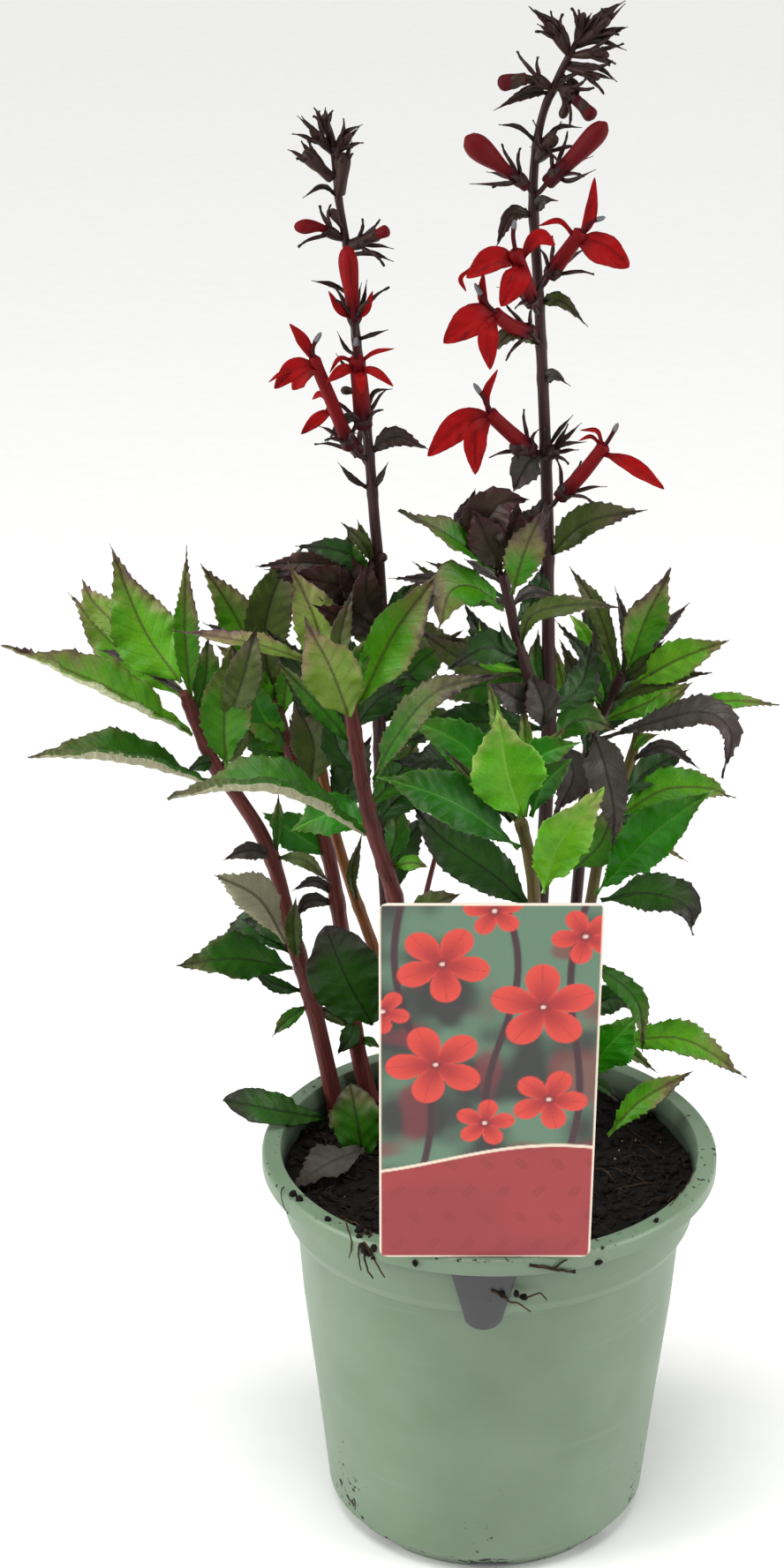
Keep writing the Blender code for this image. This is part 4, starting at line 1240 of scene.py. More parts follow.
# A twig and roots there: girth in millimetres, how pale it is, and its real places.
LIP_ROOTS = (
    (0.75, 0.1, ((12.9, 158.5, -89), (19, 157, -88.5), (24, 155.2, -87.5),
                 (30.3, 153.4, -86))),
    (0.5, 0.0, ((22, 156.3, -88), (25, 158.6, -87.5), (27, 159.4, -86.5))),
    (0.35, 0.6, ((-60, 152, -42), (-56, 157, -55), (-52, 161.5, -64), (-46, 161.8, -72))),
    (0.3, 0.5, ((-58, 152, -42), (-54, 157, -55), (-57, 161.2, -60))),
    (0.5, 0.7, ((-1, 145, -84.7), (3, 142, -84.2), (6, 139, -83.6), (9, 138.5, -83.5),
                (14, 134, -82.6))),
    (0.45, 0.6, ((8, 143, -84.4), (12, 141.5, -84.2), (17, 142.8, -83), (20, 139, -82))),
    (0.5, 0.1, ((-46.5, 161.4, -71), (-48.5, 158, -76), (-48.5, 151, -76),
                (-46, 144, -75))),
    (0.4, 0.2, ((-49, 161.4, -69), (-51, 158, -74.5), (-51, 152, -74.5),
                (-50, 147, -74))),
    (0.45, 0.4, ((-52, 161.6, -66), (-48, 159, -76.5), (-44, 152, -78.5),
                 (-41.5, 147, -79))),
    (0.35, 0.5, ((-56, 161.6, -64), (-54, 159, -72.3), (-54.5, 151, -71.8))),
    (0.26, -0.2, ((-80, 161.2, -36), (-81.5, 161, -39), (-80.5, 158, -42.5),
                  (-79, 154, -44))),
    (0.3, 0.5, ((80, 161.3, -22), (75, 161.3, -36), (68, 161.4, -50))),
)


@dataclass
class Compost:
    """The peat in the pot: a low crumbly dome with loose crumbs, fibres and grit."""

    centre: float = 151.8
    edge: float = 149.6
    radius: float = 80.6
    sides: int = 176
    crumbs: int = 1500
    fibres: int = 300
    grit: int = 70

    def height(self, x: Array, y: Array) -> Array:
        """The surface: a dome of r^2, with clods 13 mm across and crumb 4.5 mm across.

        Args:
            x: millimetres to the right of the pot's axis.
            y: millimetres behind it.

        Returns:
            Millimetres above the floor.
        """
        share = np.clip((x ** 2 + y ** 2) / self.radius ** 2, 0, 1)
        flat = np.stack([x, y, x * 0], -1)
        rough = 1.5 * lumps(flat, 13.0, 1.0) + 0.8 * lumps(flat, 4.5, 2.0)
        return (self.centre + (self.edge - self.centre) * share - 0.6
                + rough * (1 - 0.6 * share ** 6))

    def build(self) -> None:
        """Builds the bed, then the loose bits on it, as one piece each."""
        reach = np.linspace(0.002, 1.0, 74) * self.radius
        angle = np.linspace(0.0, 2.0 * math.pi, self.sides, endpoint=False)
        x, y = reach[:, None] * np.cos(angle), reach[:, None] * np.sin(angle)
        bed = np.stack([x, y, self.height(x, y)], -1) * MM
        wall = np.array(((79.5, 136.5), (77.5, 132.7), (74.6, 129.2), (62.3, 10.2),
                         (55.6, 2.1), (30.0, 2.1), (0.2, 2.1)))
        skin = Skin()
        skin.rings(np.concatenate([bed, turned(wall, self.sides)]), PALETTE.of(PEAT))
        skin.make("peat_bed", "soil", "soil")
        self.scatter_crumbs()
        self.scatter_fibres()

    def scatter_crumbs(self) -> None:
        """Crumbs of peat and a few pale grains, on the bed and along the lip."""
        rng = np.random.default_rng(7)
        total = self.crumbs + self.grit
        reach = self.radius * 0.985 * np.sqrt(rng.uniform(0.0, 1.0, total))
        angle = rng.uniform(0, 2 * math.pi, total)
        x, y = reach * np.cos(angle), reach * np.sin(angle)
        size = rng.uniform(0.5, 1.0, total) ** 2 * 2.6
        size[self.crumbs:] *= 0.42
        middle = np.stack([x, y, self.height(x, y) + 0.25 * size], -1)
        spill = real(LIP_CRUMBS) / MM
        middle = np.concatenate([middle[:self.crumbs], spill, middle[self.crumbs:]])
        size = np.concatenate([size[:self.crumbs], np.resize((2.2, 1.4, 1.8), len(spill)),
                               size[self.crumbs:]])
        stretch = rng.uniform(0.55, 1.15, (len(size), 1, 3)) * size[:, None, None]
        turn = rng.normal(size=(len(size), 3, 3))
        turn, _ = np.linalg.qr(turn)
        turn *= np.sign(np.linalg.det(turn))[:, None, None]
        # Each crumb has the twelve corners of an icosahedron, stretched and roughened.
        golden = (1 + 5 ** 0.5) / 2
        base = np.array([(-1, golden, 0), (1, golden, 0), (-1, -golden, 0), (1, -golden, 0),
                         (0, -1, golden), (0, 1, golden), (0, -1, -golden),
                         (0, 1, -golden), (golden, 0, -1), (golden, 0, 1),
                         (-golden, 0, -1), (-golden, 0, 1)]) / 1.9
        rough = rng.uniform(0.7, 1.25, (len(size), 12, 1))
        points = np.einsum("nij,nvj->nvi", turn, base[None] * stretch * rough)
        points = (points + middle[:, None]) * MM
        faces = np.array([(0, 11, 5), (0, 5, 1), (0, 1, 7), (0, 7, 10), (0, 10, 11),
                          (1, 5, 9), (5, 11, 4), (11, 10, 2), (10, 7, 6), (7, 1, 8),
                          (3, 9, 4), (3, 4, 2), (3, 2, 6), (3, 6, 8), (3, 8, 9),
                          (4, 9, 5), (2, 4, 11), (6, 2, 10), (8, 6, 7), (9, 8, 1)])
        skin = Skin()
        split = self.crumbs + len(spill)
        skin.copies(points[:split], faces, PALETTE.of(PEAT),
                    rng.uniform(-0.1, 0.35, split))
        skin.copies(points[split:], faces, PALETTE.of(GRIT), rng.uniform(0, 1, self.grit))
        skin.make("peat_crumbs", "soil")

    def scatter_fibres(self) -> None:
        """Root hairs and peat fibres lying on the bed, and a twig and roots on the lip."""
        rng = np.random.default_rng(11)
        skin = Skin()
        t = np.linspace(0.0, 1.0, 8)
        for _ in range(self.fibres):
            reach = self.radius * 0.93 * math.sqrt(rng.uniform(0.02, 1.0))
            angle, lean = rng.uniform(0, 2 * math.pi, 2)
            length = rng.uniform(4.0, 17.0)
            bend = rng.uniform(-1.3, 1.3)
            way = lean + bend * t
            x = reach * math.cos(angle) + np.cumsum(np.cos(way)) * length / 8
            y = reach * math.sin(angle) + np.cumsum(np.sin(way)) * length / 8
            fit = np.minimum(1.0, 79.0 / np.hypot(x, y).clip(1))
            x, y = x * fit, y * fit
            z = self.height(x, y) + 0.5 + rng.uniform(0.0, 2.2) * np.sin(math.pi * t)
            rings, _ = tube(np.stack([x, y, z], 1) * MM,
                            np.full(8, rng.uniform(0.13, 0.34)), 4)
            skin.rings(rings, PALETTE.of(FIBRE), None, None,
                       (0.0, float(rng.uniform(-0.4, 0.4)), 0.0))
        for girth, light, places in LIP_ROOTS:
            share = np.linspace(0.0, 1.0, 26)
            points = spline(real(places), share)
            wander = np.stack([lumps(points / MM, 2.3, k) for k in (4.0, 5.0, 6.0)], 1)
            rings, _ = tube(points + wander * 0.35 * MM,
                            girth * (1 - 0.4 * share), 7)
            skin.rings(rings, PALETTE.of(FIBRE), None, None, (0.0, light, 0.0))
        skin.make("peat_fibres_and_twig", "soil")


@dataclass
class PrintedFace:
    """The picture printed on the label, worked out at points (x, z) of the card.

    A red field with faint leaf shapes fills the foot of the card below a curved edge.
    Above it, on a soft grey-green ground, plain round-petalled blossoms stand among three
    stalks. A stalk is its foot, its top and its bend; a blossom is its middle, its reach
    and its turn.
    """

    width: float
    height: float
    repeat: float = 13.0
    stalks: Sequence[tuple[Any, ...]] = (((-24, 40), (-30, 163), 5), ((6, 40), (3, 163), -6),
                                         ((27, 40), (34, 163), 4))
    blossoms: Sequence[tuple[float, ...]] = (
        (-17, 137, 17, 0.2), (19, 118, 19, 0.9), (-19, 92, 18, 0.55), (22, 76, 14, 0.1),
        (33, 149, 12, 0.5), (-38, 116, 10, 0.3), (1, 160, 11, 0.8), (-1, 65, 11, 1.1))

    def colours(self, x: Array, z: Array) -> Array:
        """The linear ink colour at each point.

        Args:
            x: millimetres from the card's middle.
            z: millimetres above the card's foot.

        Returns:
            One colour for each point.
        """
        flat = np.stack([x, z, x * 0], -1)
        blur = 0.5 + 0.5 * lumps(flat, 17.0, 8.0) + 0.2 * lumps(flat, 7.0, 9.0)
        ink = self.mix(linear("2c2f2c"), linear("5f8068"), smooth(0.2, 0.8, blur))
        ink = self.mix(ink, linear("7a2530"), 0.7 * smooth(
            0.25, 0.7, lumps(flat, 13.0, 5.0)))
        for foot, top, bend in self.stalks:
            share = ((z - foot[1]) / (top[1] - foot[1])).clip(0, 1)
            middle = foot[0] + (top[0] - foot[0]) * share + bend * np.sin(share * 6.0)
            ink = self.mix(ink, linear("3a1a24"), smooth(1.7, 0.9, np.abs(x - middle)))
        for middle_x, middle_z, reach, turn in self.blossoms:
            ink = self.blossom(ink, x - middle_x, z - middle_z, reach, turn)
        edge = 47.0 + 7.0 * np.sin(x / self.width * 3.0 + 0.6)
        field = linear("a02e34")
        worn = self.mix(field, linear("962a31"), smooth(-0.3, 0.6, lumps(flat, 22.0, 3.0)))
        worn = self.mix(worn, linear("872127"), 0.6 * self.sprig(x, z))
        ink = self.mix(ink, worn, smooth(0.4, -0.4, z - edge))
        ink = self.mix(ink, linear("f0dcc8"), smooth(0.9, 0.5, np.abs(z - edge - 0.4)))
        border = np.minimum(0.5 * self.width - np.abs(x), np.minimum(z, self.height - z))
        return self.mix(ink, linear("efdcca"), smooth(0.95, 0.45, border))

    @staticmethod
    def mix(under: Array | Colour, over: Array | Colour, share: Array) -> Array:
        """One colour laid over another by a share."""
        share = np.clip(share, 0, 1)[..., None]
        return np.asarray(under)[..., :3] * (1 - share) + np.asarray(over)[..., :3] * share

    def blossom(self, ink: Array, x: Array, z: Array, reach: float, turn: float) -> Array:
        """Adds a flat flower of five round petals, r = reach (0.3 + 0.7 |cos(5a/2)|^0.55).

        Args:
            ink: the colours under it.
            x: millimetres to the right of its middle.
            z: millimetres above its middle.
            reach: how far its petals reach, in millimetres.
            turn: how far it is turned, in radians.

        Returns:
            The colours with the flower on them.
        """
        angle = np.arctan2(z, x) + turn
        radius = np.hypot(x, z)
        lobe = reach * (0.30 + 0.70 * np.abs(np.cos(2.5 * angle)) ** 0.55)
        shade = smooth(0.1, 1.0, radius / np.maximum(lobe, 0.1))
        petal = self.mix(linear("a3161b"), linear("dc3f31"), shade)
        line = np.abs(np.sin(2.5 * angle)) * radius
        petal = self.mix(petal, linear("b0211f"), 0.7 * smooth(0.7, 0.2, line))
        petal = self.mix(petal, linear("8a1520"), smooth(2.6, 1.8, radius))
        petal = self.mix(petal, linear("e6c9bd"), smooth(1.1, 0.7, radius))
        return self.mix(ink, petal, smooth(0.3, -0.3, radius - lobe))

    def sprig(self, x: Array, z: Array) -> Array:
        """A repeat of small plain leaf shapes, one in each square and leaning by turns.

        Args:
            x: millimetres from the card's middle.
            z: millimetres above the card's foot.

        Returns:
            1 on a leaf shape and 0 beside it.
        """
        row = np.floor(z / self.repeat)
        half = 0.5 * self.repeat
        u = (x + half * (row % 2)) % self.repeat - half
        v = z % self.repeat - half
        lean = np.where(row % 2 > 0, 0.7, -0.7)
        a, b = u * np.cos(lean) + v * np.sin(lean), v * np.cos(lean) - u * np.sin(lean)
        leaf = (np.abs(a) / 1.7) + (b / 4.2) ** 2
        return smooth(1.1, 0.8, leaf) * smooth(0.1, 0.35, np.abs(a))


@dataclass
class Label:
    """The plant label: a thin leaning card with round corners, on a tapered tongue."""

    middle: float = -3.9
    depth: float = -87.0
    foot: float = 161.0
    width: float = 78.5
    height: float = 163.0
    thickness: float = 0.7
    corner: float = 3.5
    lean: float = math.radians(11.0)
    tongue_top: float = 29.0
    tongue_end: float = 15.0
    tongue_length: float = 37.0
    rows: int = 327
    columns: int = 159

    def place(self, x: Array, z: Array, out: Array) -> Array:
        """Points of the leaning card, which bows out as a half sine up its height.

        Args:
            x: millimetres to the right of its middle line.
            z: millimetres up from its foot.
            out: millimetres out of its middle plane, to the front.

        Returns:
            Points in metres.
        """
        bow = 0.35 * np.sin(np.clip(z / self.height, 0, 1) * math.pi)
        front = out + bow
        return np.stack([self.middle + x,
                         self.depth - z * math.sin(self.lean) - front * math.cos(self.lean),
                         self.foot + z * math.cos(self.lean) - front * math.sin(self.lean)],
                        -1) * MM

    def build(self) -> None:
        """Builds the card as rings up its height, its front one a fine grid for the print."""
        z = np.linspace(0.0, self.height, self.rows)
        z[0], z[-1] = 0.02, self.height - 0.02
        near = np.minimum(z, self.height - z)
        cut = self.corner - np.sqrt(
            np.clip(self.corner ** 2 - (self.corner - near).clip(0) ** 2, 0, None))
        half = 0.5 * self.width - cut
        share = np.linspace(-1.0, 1.0, self.columns)
        front = share[None] * half[:, None]
        back = np.linspace(1.0, -1.0, 12)[None] * half[:, None]
        x = np.concatenate([front, back], axis=1)
        level = np.broadcast_to(z[:, None], x.shape)
        out = np.full(x.shape, 0.5 * self.thickness)
        out[:, share.size:] *= -1
        face = PrintedFace(self.width, self.height).colours(front, level[:, :share.size])
        plain = np.broadcast_to(np.array(linear("d8d3c8"))[:3], (*back.shape, 3))
        skin = Skin()
        skin.rings(self.place(x, level, out), PALETTE.of(CARD), None, None,
                   np.concatenate([face, plain], axis=1))
        self.tongue(skin)
        skin.make("plant_label", "card", "label")

    def tongue(self, skin: Skin) -> None:
        """Adds the tongue: straight sides that close in, then a half round end.

        Args:
            skin: what it is added to.
        """
        end = 0.5 * self.tongue_end
        straight = np.linspace(1.2, end - self.tongue_length, 20)
        curve = np.linspace(0.05, 0.5, 12) * math.pi
        z = np.concatenate([straight, end - self.tongue_length - end * np.sin(curve)])
        taper = (z / (end - self.tongue_length)).clip(0, 1)
        half = 0.5 * self.tongue_top + (end - 0.5 * self.tongue_top) * taper
        half[len(straight):] = end * np.cos(curve).clip(0.01)
        share = np.array((-1.0, -0.97, -0.4, 0.4, 0.97, 1.0, 1.0, 0.97, 0.4, -0.4, -0.97, -1.0))
        side = np.array((0.6, 1.0, 1.0, 1.0, 1.0, 0.6, -0.6, -1.0, -1.0, -1.0, -1.0, -0.6))
        x = half[:, None] * share[None]
        level = np.broadcast_to(z[:, None], x.shape)
        out = np.broadcast_to(side[None] * 0.45 * self.thickness, x.shape)
        skin.rings(self.place(x, level, out), PALETTE.of(TONGUE), None, None,
                   (0.0, 0.0, 0.0))


# The plant's layout, stem by stem


def leaves(kind: Kind, *rows: tuple[Any, ...]) -> list[Blade]:
    """Blades of one kind, from rows of what comes after the kind in Blade's own fields."""
    return [Blade(kind, *row) for row in rows]


# A blade's tone ends with painted shade, which darkens a leaf deep among the others.
LEAVES: dict[str, Blade] = {
    "leaf_left_long": Blade(Kind.BRIGHT, 20, ((-113.5, 336, 31), (-147, 356, 14), (-184, 372, 4)),
        (0.25, -0.6, 0.85), 0.48, 0.25, roll=(5.5, 0), side=0.3, tone=(0.1, 0.7, 0)),
    "leaf_left_upright": Blade(Kind.BRIGHT, 26, ((-117.5, 357, 36), (-131, 379, 46),
        (-142.5, 412, 52)), (-0.1, -0.9, 0.5), 0.42, 0.3, side=0.3, tone=(0.1, 0.6, 0)),
    "leaf_left_behind": Blade(Kind.BRIGHT, 17, ((-118, 352, 40), (-141, 371, 60),
        (-158.5, 393, 72)), (-0.2, -0.9, 0.6), 0.45, 0.15, tone=(0.1, 0.5, 0), wave=0.3),
    "leaf_inner_across": Blade(Kind.PALE, 8.5, ((-66, 364, 18), (-90, 372.5, 20), (-120, 378, 24)),
        (0.2, -0.6, 0.9), 0.5, 0.3, side=0.3, tone=(0.5, 0.4, 0)),
    "leaf_left_round": Blade(Kind.BRIGHT, 21, ((-101, 322, 28), (-101.5, 342, 22), (-98, 372, 18)),
        (0.1, -1, 0.35), 0.62, 0.2, point=2.4, roll=(1.2, 0), side=0.25, tone=(0, 0.1, 0.1)),
    "leaf_left_low": Blade(Kind.GREEN, 22, ((-107, 316, 32), (-142, 327, 22), (-176, 327, 18)),
        (0.1, -0.35, 1), 0.5, 0.25, roll=(6.5, 0), side=0.15, tone=(-0.1, 0.4, 0), wave=0.12),
    "leaf_front_long": Blade(Kind.GREEN, 24, ((-48.5, 295, 1), (-85, 315, -14), (-124, 310, -8)),
        (0.1, -0.4, 1), 0.5, 0.25, roll=(7.5, 0), tone=(-0.1, 0.5, 0), wave=0.12),
    "leaf_front_broad": Blade(Kind.PALE, 22, ((-54.5, 343, -5), (-61.5, 363, -13),
        (-71, 382, -20)), (-0.1, -1, 0.15), 0.45, 0.16, point=2.3, tone=(0.15, 0.3, 0), teeth=0.8),
    "leaf_front_tall": Blade(Kind.PALE, 19, ((-60, 352, 8), (-67, 382, 14), (-77, 405, 18)),
        (0.1, -1, 0.4), 0.45, 0.2, roll=(1.2, 0), tone=(0.05, 0.9, 0)),
    "leaf_front_right": Blade(Kind.BRIGHT, 20, ((-51, 348, 4), (-37, 378, 8), (-19, 403, 6)),
        (0.3, -0.9, 0.5), 0.45, 0.5, side=0.4, tone=(0.25, 0.4, 0), teeth=0.8),
    "leaf_purple_arch": Blade(Kind.GREEN, 12.5, ((-45.8, 315, 1), (-38, 333, -14),
        (-22, 353, -24), (3, 360.5, -30)), (-0.25, -0.8, 0.6), 0.55, 0.15, tone=(0.5, 0.3, 0.1)),
    "leaf_centre_long": Blade(Kind.LUSH, 21, ((10, 289, -18), (-15, 308, -32), (-44, 319, -38)),
        (0.1, -0.75, 0.7), 0.55, 0.16, tone=(-0.2, 0, 0.5), teeth=0.7),
    "leaf_centre_shade": Blade(Kind.DARK, 21, ((7, 300, -10), (-13, 323, 0), (-38, 325, 12)),
        (0.1, -0.8, 0.6), 0.5, 0.15, tone=(0, 0, 0.6)),
    "leaf_centre_bright": Blade(Kind.FRESH, 28, ((10.5, 303, -23), (5, 321, -28), (1, 345, -32)),
        (0, -1, 0.4), 0.5, 0.14, point=2.2, tone=(-0.25, 0.45, 0), teeth=0.9),
    "leaf_centre_curl": Blade(Kind.LUSH, 12, ((14.5, 302, -20), (19, 315, -19), (29, 326, -22)),
        (-0.4, -0.9, 0.4), 0.6, 0.2, tone=(-0.2, 0, 0.45)),
    "leaf_pale_upright": Blade(Kind.FRESH, 21, ((19.5, 270, -16), (26, 292, -24), (42, 314, -28)),
        (0.25, -1, 0.2), 0.55, 0.15, point=2.3, roll=(0, 2.2), tone=(-0.1, 1, 0), teeth=0.8),
    "leaf_grey_hanging": Blade(Kind.PURPLE, 16, ((38, 335, 32), (42, 323, 16), (46, 304, 8),
        (45.5, 286, 4)), (-0.2, -1, 0.3), 0.35, 0.15, tone=(0, 0.9, 0)),
    "leaf_olive_round": Blade(Kind.GREEN, 19, ((31, 280, 16), (41, 291, 18), (46, 307, 20)),
        (0.1, -1, 0.3), 0.6, 0.12, point=2.2, tone=(0, 0.6, 0)),
    "leaf_right_bright": Blade(Kind.LUSH, 21, ((40, 270, 24), (60, 294, 2), (83, 313, -10)),
        (0.35, -0.8, 0.7), 0.55, 0.22, roll=(0, 2), tone=(-0.25, 0.7, 0.15), teeth=0.8),
    "leaf_right_upper": Blade(Kind.BRIGHT, 16, ((48.5, 303, 34), (64, 313, 38), (80, 314, 40),
        (92, 310, 42)), (0.1, -0.8, 0.75), 0.4, 0.2, tone=(-0.1, 0.2, 0.05)),
    "leaf_right_drooping": Blade(Kind.DARK, 17, ((42, 267, 30), (59, 270, 22), (74, 265, 14),
        (78, 252, 10)), (0.6, -0.9, 0.6), tone=(0.35, 0.9, 0)),
    "leaf_purple_hook": Blade(Kind.PURPLE, 12.5, ((40, 334, 47), (60, 341, 22), (79, 345, 8),
        (89, 336, 2), (86.5, 318, 2)), (0.5, -0.9, 0.6), 0.55, tone=(0.1, 0.5, 0)),
    "leaf_shoot_right_tall": Blade(Kind.BRIGHT, 16.5, ((49.5, 362, 45), (55.5, 382, 38),
        (64.5, 402, 34)), (0.2, -1, 0.3), side=-0.4, tone=(0.3, 0.1, 0.05)),
    "leaf_shoot_right_side": Blade(Kind.BRIGHT, 15, ((51.5, 356, 45), (68, 366, 38),
        (87, 374, 34)), (0.2, -0.9, 0.6), tone=(-0.1, 1.0, 0)),
    "leaf_shoot_left_side": Blade(Kind.GREEN, 12, ((-0.5, 401, -3), (-16, 414, -12),
        (-36, 425, -18)), (0.2, -0.6, 0.9), 0.5, 0.25, tone=(0.3, 0.5, 0)),
    "leaf_shoot_broad": Blade(Kind.BRIGHT, 14.5, ((6, 392, -4), (10, 408, -10), (17, 425, -12)),
        (0.1, -1, 0.2), 0.55, tone=(0.6, 0, 0.2)),
    "leaf_shoot_bent": Blade(Kind.BRIGHT, 19, ((3, 386, -4), (-8, 395, -10), (-17, 393, -18),
        (-21, 378, -26)), (0.7, -0.6, 1), 0.55, 0.15, side=0.3, tone=(0.1, 0, 0.35)),
    "leaf_low_left": Blade(Kind.GREEN, 20, ((-77, 238, 42), (-99, 242, 34), (-122, 239, 28)),
        (0.1, -0.65, 0.8), tone=(-0.1, 0, 0.3)),
    "leaf_low_curled": Blade(Kind.PALE, 17, ((-80, 249, 34), (-90, 268, 20), (-107, 278, 8)),
        (-0.5, 1, -0.1), roll=(0, 2.2), tone=(0.35, 0.3, 0.42)),
    "leaf_obovate": Blade(Kind.DARK, 29, ((-46, 213, 24), (-56, 233, 12), (-64, 255, 6)),
        (0.1, -1, 0.3), 0.58, 0.1, teeth=0.3, taper=0.0, point=1.6, tone=(-0.1, 0.3, 0.1)),
    "leaf_soil_left": Blade(Kind.DARK, 15, ((-65, 171.5, 36), (-84, 175.5, 18), (-105, 180, 12)),
        (0.1, -0.7, 0.8), 0.64, 0.15, teeth=0.3, taper=0.1, point=1.7, tone=(-0.2, 1.0, 0)),
    "leaf_soil_front": Blade(Kind.GREEN, 20, ((-50, 153, 10), (-52, 169, 8), (-55, 187, 12)),
        (0, -1, 0.3), 0.6, point=1.7, teeth=0.4, taper=0.1, tone=(0, 0.2, 0.3)),
    "leaf_dead": Blade(Kind.DEAD, 15, ((-49, 158, 8), (-63, 152, -8), (-79, 140, -22)),
        (0.1, -0.5, 0.9), 0.55, tone=(0, 0.2, 0.2), wave=0.35),
    "leaf_low_right": Blade(Kind.LUSH, 20, ((38, 192, 20), (47, 205, 10), (57, 217, 6)),
        (0.1, -0.9, 0.4), 0.5, 0.15, point=2.2, tone=(-0.2, 0.6, 0)),
    "leaf_low_right_long": Blade(Kind.BRIGHT, 14.5, ((47, 205, 42), (75, 207, 40), (101, 190, 36)),
        (0.1, -0.7, 0.8), tone=(0.05, 0.4, 0)),
    "leaf_soil_right": Blade(Kind.BRIGHT, 11, ((47, 164, 14), (60, 180, 16), (80, 193, 18)),
        (-0.3, -0.9, 0.5), 0.55, 0.25, side=0.3, tone=(0.15, 0.3, 0)),
}

